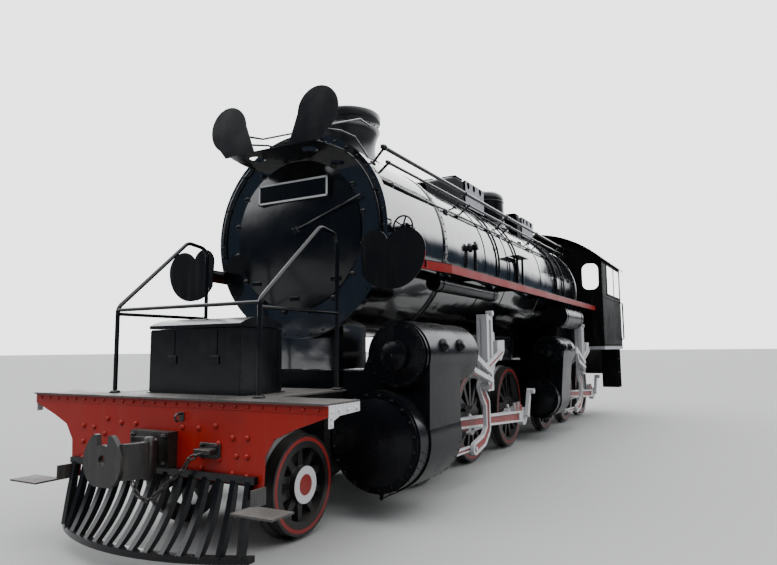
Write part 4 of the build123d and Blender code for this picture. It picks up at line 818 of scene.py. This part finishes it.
# Nuts on the covers of cylinders and chests, screws round the jackets, drain cocks with their rod
for unit, front_x, length, r, studs_r, studs, chest_x, chest_y, chest_r, plugs in CYLINDERS:
    shape = Shape()
    rear_x = front_x - length
    drain_z = CYL_Z - r - DRAIN_DROP
    for side in SIDES:
        y = side * MOTION_Y
        for place in forward_circle(front_x + COVER_T, y, CYL_Z, studs_r, studs):
            if unit == "front" or abs(place[1]) > REAR_NUTS_FROM_Y:
                nut(shape, place, FORWARD, 0.017)
        for place in forward_circle(chest_x, side * chest_y, VALVE_Z, (chest_r - 0.022) * 0.94, 14):
            nut(shape, place, FORWARD, 0.013)
        for place in forward_circle(chest_x + CHEST_CAP_T, side * chest_y, VALVE_Z, chest_r * 0.40, 8):
            nut(shape, place, FORWARD, 0.009)
        for x, a in product((front_x - 0.075, rear_x + 0.055), arc(-125, -10, 13)):
            out = Vector((0, side * cos(a), sin(a)))
            rivet(shape, Vector((x, y, CYL_Z)) + out * r, out, 0.008)
        for x in (front_x - 0.10, rear_x + 0.10):
            turned(shape, (x, y, CYL_Z - r + 0.004), DOWNWARD, DRAIN_COCK, 12)
            bar(shape, (x - 0.03, y, drain_z), (x + 0.03, y, drain_z), 0.006)
        rod_y = side * (MOTION_Y + 0.014)
        bar(shape, (rear_x + 0.06, rod_y, drain_z), (front_x - 0.06, rod_y, drain_z), 0.005)
    shape.build(f"{unit}_cylinder_nuts", f"{unit}_unit", cylinder_black)

# Round plugs on the outer sides of the valve chests
PLUG_ANGLE = radians(16)
PLUG = ((0.058, -0.020), (0.058, 0.014), (0.046, 0.018), (0.044, 0.034), (0.036, 0.042), (0.018, 0.046))
for unit, *_, chest_y, chest_r, plugs in CYLINDERS:
    shape = Shape()
    for side in SIDES:
        out = Vector((0, side * cos(PLUG_ANGLE), sin(PLUG_ANGLE)))
        for x in plugs:
            turned(shape, Vector((x, side * chest_y, VALVE_Z)) + out * chest_r, out, PLUG, 26)
    shape.build(f"{unit}_chest_plugs", f"{unit}_unit", cylinder_black)

# Oil cups, washers and nuts on the coupling rods' eyes
CRANK_ANGLES = ((1, "left", radians(-20)), (-1, "right", radians(70)))
ROD_Y = 0.701
ROD_FACE_Y = 0.737
ROD_EYE_R = 0.092
OIL_CUP = ((0.026, 0), (0.026, 0.022), (0.020, 0.030), (0.020, 0.048), (0.010, 0.056))
WASHER = ((0.066, -0.002), (0.066, 0.004), (0.050, 0.004), (0.050, -0.002))
EYE_NUTS_R = 0.078
for unit, axles in AXLES.items():
    for side, hand, angle in CRANK_ANGLES:
        shape = Shape()
        out = (0, side, 0)
        y = side * ROD_FACE_Y
        z = DRIVER_Z + CRANK * sin(angle)
        for axle_x in axles:
            x = axle_x + CRANK * cos(angle)
            turned(shape, (x, side * ROD_Y, z + ROD_EYE_R), UPWARD, OIL_CUP, 14)
            turned(shape, (x, y, z), out, WASHER, 28)
            for a in turns(4, 0.5):
                nut(shape, (x + EYE_NUTS_R * cos(a), y, z + EYE_NUTS_R * sin(a)), out, 0.008, False)
        shape.build(f"{unit}_rod_fittings_{hand}", f"{unit}_rod_{hand}", white_paint)

# Boiler fittings: a pipe along each side, sand pipes, check valves and washout plugs
PIPE_ROUTE = (
    (4.06, 0.830, 2.905), (3.60, 0.832, 2.905), (2.85, 0.828, 2.905),
    (2.60, 0.795, 2.930), (0.0, 0.795, 2.930), (CAB_FRONT_X - 0.005, 0.795, 2.930),
)
SMOKEBOX_CLIPS_X = (3.85, 3.10)
BOILER_CLIPS_X = (2.2, 1.2, 0.2, -0.6, -1.5, -2.4)
SAND_PIPES_X = (1.15, 0.33, -1.84, -2.35)
SAND_PIPE_AWAY = 0.019
CHECK_X = 2.10
CHECK_Z = 2.560
FEED_Y = 0.955
CHECK_VALVE = ((0.055, -0.02), (0.055, 0.012), (0.030, 0.016), (0.030, 0.070), (0.042, 0.072), (0.042, 0.090))
CHECK_CAP = ((0.034, 0), (0.034, 0.06), (0.018, 0.07), (0.018, 0.095))
WASHOUTS = ((2.55, 2.90), (-0.35, 2.98), (-2.30, 2.62), (-2.80, 2.62), (-3.20, 2.62))
WASHOUT = ((0.040, -0.004), (0.040, 0.012), (0.030, 0.016))
shape = Shape()
for side in SIDES:
    pipe(shape, [(x, side * y, z) for x, y, z in PIPE_ROUTE], 0.011, 10)
    for x in SMOKEBOX_CLIPS_X:
        block(shape, (x, side * 0.822, 2.905), (0.012, 0.012, 0.025))
    for x in BOILER_CLIPS_X:
        block(shape, (x, side * 0.785, 2.9285), (0.012, 0.014, 0.0235))
    for x in SAND_PIPES_X:
        route = [round_boiler(x, BOILER_R + SAND_PIPE_AWAY, side * a) for a in arc(20, 108, 15)]
        pipe(shape, route, 0.013, 10)
        for place in (route[4], route[9]):
            block(shape, place, (0.026, 0.012, 0.012), 0.003)
    turned(shape, (CHECK_X, side * 0.897, CHECK_Z), (0, side, 0.09), CHECK_VALVE, 18)
    feed = [(CHECK_X, side * FEED_Y, z) for z in (CHECK_Z, 2.480, 2.330, BOARD_TOP - 0.003)]
    pipe(shape, feed, 0.021)
    turned(shape, (CHECK_X, side * FEED_Y, CHECK_Z - 0.030), UPWARD, CHECK_CAP, 14)
    for x, z in WASHOUTS:
        rise = z - BOILER_Z
        y = (BOILER_R ** 2 - rise ** 2) ** 0.5
        turned(shape, (x, side * y, z), (0, y, rise), WASHOUT, 16)
        share = 1 + 0.014 / BOILER_R
        nut(shape, (x, side * y * share, BOILER_Z + rise * share), (0, side * y, rise), 0.018, False)
shape.build("boiler_fittings", "rear_unit", black_paint)

# Boiler handrails as Y, Z and radius: their knobs, front caps and the feet of their posts
HANDRAILS = ((0.770, 3.262, 0.020), (0.815, 3.110, 0.014))
HANDRAIL_FRONT_X = 3.930
POSTS_X = (3.900, 1.900, 0.350, -1.200, -2.750)
POST_FOOT = ((0.034, -0.004), (0.034, 0.008), (0.018, 0.016))
shape = Shape()
for side in SIDES:
    for y, z, r in HANDRAILS:
        knob = ((r, -0.026), (r * 1.35, -0.016), (r * 1.55, 0), (r * 1.35, 0.016), (r, 0.026))
        for x in POSTS_X:
            turned(shape, (x, side * y, z), FORWARD, knob, 16)
        cap = ((r, -0.01), (r * 1.15, 0.0), (r * 1.15, 0.010), (r * 0.5, 0.018))
        turned(shape, (HANDRAIL_FRONT_X, side * y, z), FORWARD, cap, 16)
    post = Vector((0, side * HANDRAILS[0][0], HANDRAILS[0][1] - BOILER_Z)).normalized()
    for x in POSTS_X:
        surface = SMOKEBOX_R if x > SMOKEBOX_REAR_X else BOILER_R + 0.001
        turned(shape, Vector((x, 0, BOILER_Z)) + post * surface, post, POST_FOOT, 16)
shape.build("handrail_knobs", "rear_unit", black_paint)

# Lids, hinges and catches of the sandboxes, and the rivets above their feet
SANDBOX_LIDS = ((0.835, 3.785), (-1.840, 3.755))
LID_Y = 0.171
SANDBOX_HALF = 0.288
shape = Shape()
for (x, top), side in product(SANDBOX_LIDS, SIDES):
    y = side * LID_Y
    slab(shape, (x - 0.06, y - 0.06, top), (x + 0.12, y + 0.06, top + 0.010))
    bar(shape, (x - 0.10, y - 0.07, top + 0.004), (x - 0.10, y + 0.07, top + 0.004), 0.009)
    bar(shape, (x + 0.04, y - 0.03, top + 0.024), (x + 0.04, y + 0.03, top + 0.024), 0.006)
    for foot_y in (y - 0.03, y + 0.03):
        bar(shape, (x + 0.04, foot_y, top + 0.008), (x + 0.04, foot_y, top + 0.026), 0.006)
for side in SIDES:
    y = side * SANDBOX_HALF
    rivets(shape, evenly((1.05, y, 3.40), (1.93, y, 3.40), 9), (0, side, 0), 0.009)
    rivets(shape, evenly((-1.97, y, 3.42), (-1.722, y, 3.42), 5), (0, side, 0), 0.009)
rivets(shape, evenly((1.980, -0.22, 3.40), (1.980, 0.22, 3.40), 5), FORWARD, 0.009)
shape.build("sandbox_fittings", "rear_unit", black_paint)

# Flat, dull black discs over the round holes in the proud plates, painted shade that widens the dark of the
# holes: X places and Z of each row
CASING_HOLES = (((0.589, 0.367, 0.115), 3.722), ((-2.105, -2.315, -2.553), 3.685))
SHADE_DISC = ((0.050, -0.001), (0.050, 0.001), (0.047, 0.002))
shape = Shape()
for (places, z), side in product(CASING_HOLES, SIDES):
    for x in places:
        turned(shape, (x, side * CASING_Y, z), (0, side, 0), SHADE_DISC, 24)
shape.build("casing_hole_shade", "rear_unit", hole_shade_black)

# The chimney, turned finely enough for its gloss: radius and Z from the foot over the rim into the bore
CHIMNEY_X = 3.322
CHIMNEY_PROFILE = (
    (0.370, 3.340), (0.335, 3.370), (0.318, 3.400), (0.302, 3.440), (0.292, 3.480), (0.294, 3.545),
    (0.304, 3.604), (0.322, 3.660), (0.344, 3.708), (0.332, 3.722), (0.332, 3.800), (0.347, 3.806),
    (0.350, 3.812), (0.350, 3.872), (0.346, 3.884), (0.338, 3.891), (0.245, 3.891), (0.240, 3.886),
    (0.240, 3.420),
)
shape = Shape()
turned(shape, (CHIMNEY_X, 0, 0), UPWARD, CHIMNEY_PROFILE, 96)

# Its base flange, which follows the smokebox: radius and height over the smokebox
FLANGE_ROWS = ((0.366, 0.020), (0.372, 0.008), (0.446, -0.002), (0.452, -0.012))
FLANGE_POINTS = 72
FLANGE_RIVETS_R = 0.412
flange = []
for (radius, over), a in product(FLANGE_ROWS, turns(FLANGE_POINTS)):
    y = radius * sin(a)
    flange.append((CHIMNEY_X + radius * cos(a), y, boiler_top(SMOKEBOX_R + over, y)))
shape.add(flange, tube_quads(len(FLANGE_ROWS), FLANGE_POINTS), True)
for a in turns(24, 0.5):
    y = FLANGE_RIVETS_R * sin(a)
    z = boiler_top(SMOKEBOX_R + 0.006, y)
    rivet(shape, (CHIMNEY_X + FLANGE_RIVETS_R * cos(a), y, z), (0, y, z - BOILER_Z), 0.010)
smooth_chimney = shape.build("smooth_chimney", "rear_unit", chimney_black)
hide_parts("chimney")

# Hoops and lid nuts of the dome, and the rivets of the chimney's band
DOME_X = -0.930
LID_NUTS_R = 0.205
LID_NUTS_Z = 3.957
BAND_RIVETS_R = 0.333
BAND_RIVETS_Z = 3.745
HOOP = ((0.3045, -0.014), (0.309, -0.012), (0.309, 0.012), (0.3045, 0.014))
shape = Shape()
for z in (3.470, 3.800):
    turned(shape, (DOME_X, 0, z), UPWARD, HOOP, 64)
for a in turns(20):
    nut(shape, (DOME_X + LID_NUTS_R * cos(a), LID_NUTS_R * sin(a), LID_NUTS_Z), UPWARD, 0.011, False)
for a in turns(24):
    place = (CHIMNEY_X + BAND_RIVETS_R * cos(a), BAND_RIVETS_R * sin(a), BAND_RIVETS_Z)
    rivet(shape, place, (cos(a), sin(a), 0), 0.008)
shape.build("dome_fittings", "rear_unit", cylinder_black)

# Cab sides and front: rivets, window frames and sills, handrails by the entrance, corner strips
WINDOW_X = (-5.460, -3.950)
WINDOW_Z = (2.441, 3.015)
WINDOW_POST_X = (-4.72, -4.69)
WINDOW_FRAME = 0.03
CORNER_STRIP_Y = 1.345
left, right = WINDOW_X
sill, head = WINDOW_Z
shape = Shape()
for side in SIDES:
    out = (0, side, 0)
    y = side * CAB_Y
    for x in (CAB_FRONT_X - 0.035, CAB_REAR_X + 0.035):
        rivets(shape, evenly((x, y, 1.50), (x, y, 3.04), 15), out, 0.009)
    for z in (1.455, 2.350):
        rivets(shape, evenly((CAB_REAR_X + 0.07, y, z), (CAB_REAR_X + 2.122, y, z), 20), out, 0.009)
    low = min(y - side * 0.004, y + side * 0.010)
    for x0, x1, z0, z1 in (
        (left - WINDOW_FRAME, right + WINDOW_FRAME, sill - WINDOW_FRAME, sill),
        (left - WINDOW_FRAME, right + WINDOW_FRAME, head, head + WINDOW_FRAME),
        (left - WINDOW_FRAME, left, sill, head),
        (right, right + WINDOW_FRAME, sill, head),
        (*WINDOW_POST_X, sill, head),
    ):
        slab(shape, (x0, low, z0), (x1, low + 0.014, z1), 0.002)
    sill_y = y - side * 0.01
    slab(shape, (left, sill_y - 0.03, 2.425), (right, sill_y + 0.03, 2.443))
    rail_y = y + side * 0.045
    for x in (CAB_REAR_X + 0.045, CAB_REAR_X + 0.10):
        rail = ((x, y, 1.56), (x, rail_y, 1.59), (x, rail_y, 2.00), (x, rail_y, 2.34), (x, y, 2.37))
        pipe(shape, rail, 0.012, 10)
    y = side * CORNER_STRIP_Y
    block(shape, (CAB_FRONT_X + 0.003, y, 2.29), (0.003, 0.02, 0.79))
    rivets(shape, evenly((CAB_FRONT_X + 0.006, y, 1.55), (CAB_FRONT_X + 0.006, y, 2.98), 14), FORWARD, 0.008)
shape.build("cab_trim", "rear_unit", cab_paint)

# Fire door, regulator handle, rivets and stay ends of the backhead, and the two crew seats
FIRE_DOOR_Z = 1.98
REGULATOR_Z = 3.02
REGULATOR_ROUTE = ((0.095, 0.0, REGULATOR_Z), (0.12, 0.10, 3.00), (0.13, 0.34, 2.92), (0.15, 0.50, 2.86))
BACKHEAD_RIVETS_R = 0.855
SEAT_X = -4.82
SEAT_Y = 1.06
SEAT_Z = 1.90
shape = Shape()
block(shape, (BACKHEAD_X - 0.011, 0, FIRE_DOOR_Z), (0.011, 0.23, 0.17), 0.02)
for side in SIDES:
    block(shape, (BACKHEAD_X - 0.0325, side * 0.097, FIRE_DOOR_Z), (0.0125, 0.093, 0.13), 0.012)
door_rail = [(BACKHEAD_X - 0.050, y, FIRE_DOOR_Z - 0.15) for y in (-0.24, 0.24)]
bar(shape, *door_rail, 0.012)
bar(shape, (BACKHEAD_X - 0.10, 0.0, REGULATOR_Z), (BACKHEAD_X, 0.0, REGULATOR_Z), 0.035)
pipe(shape, [(BACKHEAD_X - away, y, z) for away, y, z in REGULATOR_ROUTE], 0.014)
rivets(shape, [round_boiler(BACKHEAD_X, BACKHEAD_RIVETS_R, a) for a in arc(118, -118, 26)], REARWARD, 0.011)
for row, column in product(range(5), range(9)):
    y = -0.64 + 0.16 * column
    z = 1.52 + 0.17 * row
    if abs(y) > 0.27 or abs(z - FIRE_DOOR_Z) > 0.20:
        rivet(shape, (BACKHEAD_X, y, z), REARWARD, 0.010)
foot_half = (SEAT_Z - CAB_FLOOR_Z) / 2
for side in SIDES:
    block(shape, (SEAT_X, side * SEAT_Y, SEAT_Z + 0.025), (0.20, 0.20, 0.025), 0.012)
    block(shape, (SEAT_X, side * SEAT_Y, SEAT_Z - foot_half), (0.18, 0.15, foot_half), 0.008)
shape.build("backhead_fittings", "rear_unit", frame_black)

# Water gauges, pressure gauges, and valves with their pipes on the backhead
GAUGE_Y = (-0.34, 0.34)
GAUGE_Z = (2.42, 2.72)
DIALS = ((0.0, 3.20, 0.085), (-0.20, 3.17, 0.060))
VALVES_Y = (-0.62, -0.50, 0.52, 0.64)
BACKHEAD_VALVE_Z = 2.62
shape = Shape()
for y in GAUGE_Y:
    bar(shape, (BACKHEAD_X - 0.07, y, GAUGE_Z[0]), (BACKHEAD_X - 0.07, y, GAUGE_Z[1]), 0.010)
    for z in GAUGE_Z:
        bar(shape, (BACKHEAD_X, y, z), (BACKHEAD_X - 0.095, y, z), 0.016)
        turned(shape, (BACKHEAD_X - 0.09, y, z), REARWARD, ((0.024, 0), (0.024, 0.018), (0.012, 0.024)), 12)
for y, z, r in DIALS:
    bezel = ((r, 0), (r, 0.045), (r * 0.92, 0.050), (r * 0.90, 0.044))
    turned(shape, (BACKHEAD_X, y, z), REARWARD, bezel, 28)
for y in VALVES_Y:
    handle = (BACKHEAD_X - 0.11, y, BACKHEAD_VALVE_Z)
    bar(shape, (BACKHEAD_X, y, BACKHEAD_VALVE_Z), handle, 0.011)
    turned(shape, handle, REARWARD, ((0.036, 0), (0.042, 0.006), (0.036, 0.012)), 16)
    route = ((y, BACKHEAD_VALVE_Z), (y, 2.40), (y * 1.15, 2.10), (y * 1.15, 1.50))
    pipe(shape, [(BACKHEAD_X - 0.05, *place) for place in route], 0.009, 10)
shape.build("backhead_brass", "rear_unit", brass)

# Rivets, straps and nuts on the drag beam
DRAG_BEAM_X = -5.900
DRAG_BEAM_Z = (0.95, 1.24)
DRAG_STRAPS_Y = (0.62, 1.17)
DRAG_STRAP_T = 0.012
shape = Shape()
for z in DRAG_BEAM_Z:
    rivets(shape, evenly((DRAG_BEAM_X, -1.10, z), (DRAG_BEAM_X, 1.10, z), 15), REARWARD, 0.012)
for side, strap_y in product(SIDES, DRAG_STRAPS_Y):
    y = side * strap_y
    block(shape, (DRAG_BEAM_X - DRAG_STRAP_T / 2, y, 1.09), (DRAG_STRAP_T / 2, 0.05, 0.25), 0.003)
    for z in (0.90, 1.10, 1.30):
        nut(shape, (DRAG_BEAM_X - DRAG_STRAP_T, y, z), REARWARD, 0.016)
shape.build("drag_beam_rivets", "rear_unit", frame_black)

# Leaf springs with their buckles and hangers over the axle boxes
SPRING_Y = 0.474
SPRING_Z = 0.820
LEAF_STEP = 0.014
LONGEST_LEAF = 0.40
HANGER_X = 0.385
for unit, axles in AXLES.items():
    shape = Shape()
    for side, x in product(SIDES, axles):
        y = side * SPRING_Y
        for leaf in range(6):
            half = LONGEST_LEAF - 0.055 * leaf
            z = SPRING_Z + LEAF_STEP * leaf
            block(shape, (x, y, z + 0.006), (half, 0.011, 0.006))
        block(shape, (x, y, 0.830), (0.035, 0.015, 0.085), 0.003)
        for end_x in (x - HANGER_X, x + HANGER_X):
            bar(shape, (end_x, y, 0.700), (end_x, y, 0.850), 0.009)
    shape.build(f"{unit}_springs", f"{unit}_unit", frame_black)

# Plain pale floor
FLOOR_REACH = 400.0
FLOOR_GREY = (0.26, 0.26, 0.257, 1.0)
floor_mesh = bpy.data.meshes.new("floor")
corners = [(x * FLOOR_REACH, y * FLOOR_REACH, 0) for x, y in ((-1, -1), (1, -1), (1, 1), (-1, 1))]
floor_mesh.from_pydata(corners, [], [(0, 1, 2, 3)])
floor = bpy.data.objects.new("floor", floor_mesh)
bpy.context.scene.collection.objects.link(floor)
floor_nodes = Nodes("floor_paint")
floor_nodes.shader.inputs["Base Color"].default_value = FLOOR_GREY
floor_nodes.shader.inputs["Roughness"].default_value = 0.95
floor_nodes.shader.inputs["Specular IOR Level"].default_value = 0.1
floor_mesh.materials.append(floor_nodes.material)

# The sky is white overhead and down to the horizon behind, and dim low down on the camera's side
AWAY = (-0.876, -0.482)
DIM = (0.012, 0.018, 0.027)
OVERCAST = (0.98, 0.99, 1.01)
HORIZON = (0.80, 0.81, 0.82)
SKY_STRENGTH = 4.2
world = bpy.data.worlds.new("studio")
bpy.context.scene.world = world
world.use_nodes = True
sky = Tree(world.node_tree)
way = sky.parts(sky.coordinates["Generated"])
away = sky.math("ADD", sky.math("MULTIPLY", way["X"], AWAY[0]), sky.math("MULTIPLY", way["Y"], AWAY[1]))
cubed = sky.math("MULTIPLY", away, sky.math("MULTIPLY", away, away))
towards = sky.math("MINIMUM", away, 0.0)
lift = sky.math("ADD", way["Z"], sky.math("MULTIPLY", cubed, 0.45))
lift = sky.math("ADD", lift, sky.math("MULTIPLY", towards, 0.38))
pale = sky.mix(sky.band(way["Z"], 0.0, 0.30, smooth=True), HORIZON, OVERCAST)
dome = sky.tree.nodes["Background"]
sky.link(sky.mix(sky.band(lift, 0.22, 0.35, smooth=True), DIM, pale), dome.inputs["Color"])
dome.inputs["Strength"].default_value = SKY_STRENGTH

# The backdrop behind the object is one plain pale tone from every side
BACKDROP = (0.98, 0.99, 1.0, 1.0)
BACKDROP_STRENGTH = 3.0
backdrop = sky.tree.nodes.new("ShaderNodeBackground")
backdrop.inputs["Color"].default_value = BACKDROP
backdrop.inputs["Strength"].default_value = BACKDROP_STRENGTH
path = sky.tree.nodes.new("ShaderNodeLightPath")
either = sky.tree.nodes.new("ShaderNodeMixShader")
sky.link(path.outputs["Is Camera Ray"], either.inputs[0])
sky.link(dome.outputs[0], either.inputs[1])
sky.link(backdrop.outputs[0], either.inputs[2])
sky.link(either.outputs[0], sky.tree.nodes["World Output"].inputs["Surface"])


def soft_light(name, place, aim, size, power):
    """A large square light panel."""
    light = bpy.data.lights.new(name, "AREA")
    light.shape = "SQUARE"
    light.size = size
    light.energy = power
    lamp = bpy.data.objects.new(name, light)
    bpy.context.scene.collection.objects.link(lamp)
    lamp.location = place
    lamp.rotation_euler = (Vector(aim) - Vector(place)).to_track_quat("-Z", "Y").to_euler()


soft_light("key", (14.0, 20.0, 20.0), (2.0, 0.0, 1.5), 24.0, 1500.0)

# The photograph's viewpoint
CAMERA_PLACE = Vector((8.8181, 3.5108, 1.3921))
CAMERA_YAW = radians(208.85)
CAMERA_PITCH = radians(6.15)
CAMERA_ROLL = radians(-0.52)
LENS_MM = 28.88
SENSOR_MM = 36.0

level = Vector((cos(CAMERA_YAW), sin(CAMERA_YAW), 0))
forward = level * cos(CAMERA_PITCH) + Vector(UPWARD) * sin(CAMERA_PITCH)
right = Vector((sin(CAMERA_YAW), -cos(CAMERA_YAW), 0))
up = right.cross(forward)
right_turned = right * cos(CAMERA_ROLL) + up * sin(CAMERA_ROLL)
up_turned = up * cos(CAMERA_ROLL) - right * sin(CAMERA_ROLL)
camera_data = bpy.data.cameras.new("camera")
camera_data.lens = LENS_MM
camera_data.sensor_width = SENSOR_MM
camera_data.clip_end = 1000.0
camera = bpy.data.objects.new("camera", camera_data)
bpy.context.scene.collection.objects.link(camera)
turn = Matrix((right_turned, up_turned, -forward)).transposed().to_4x4()
camera.matrix_world = Matrix.Translation(CAMERA_PLACE) @ turn
bpy.context.scene.camera = camera
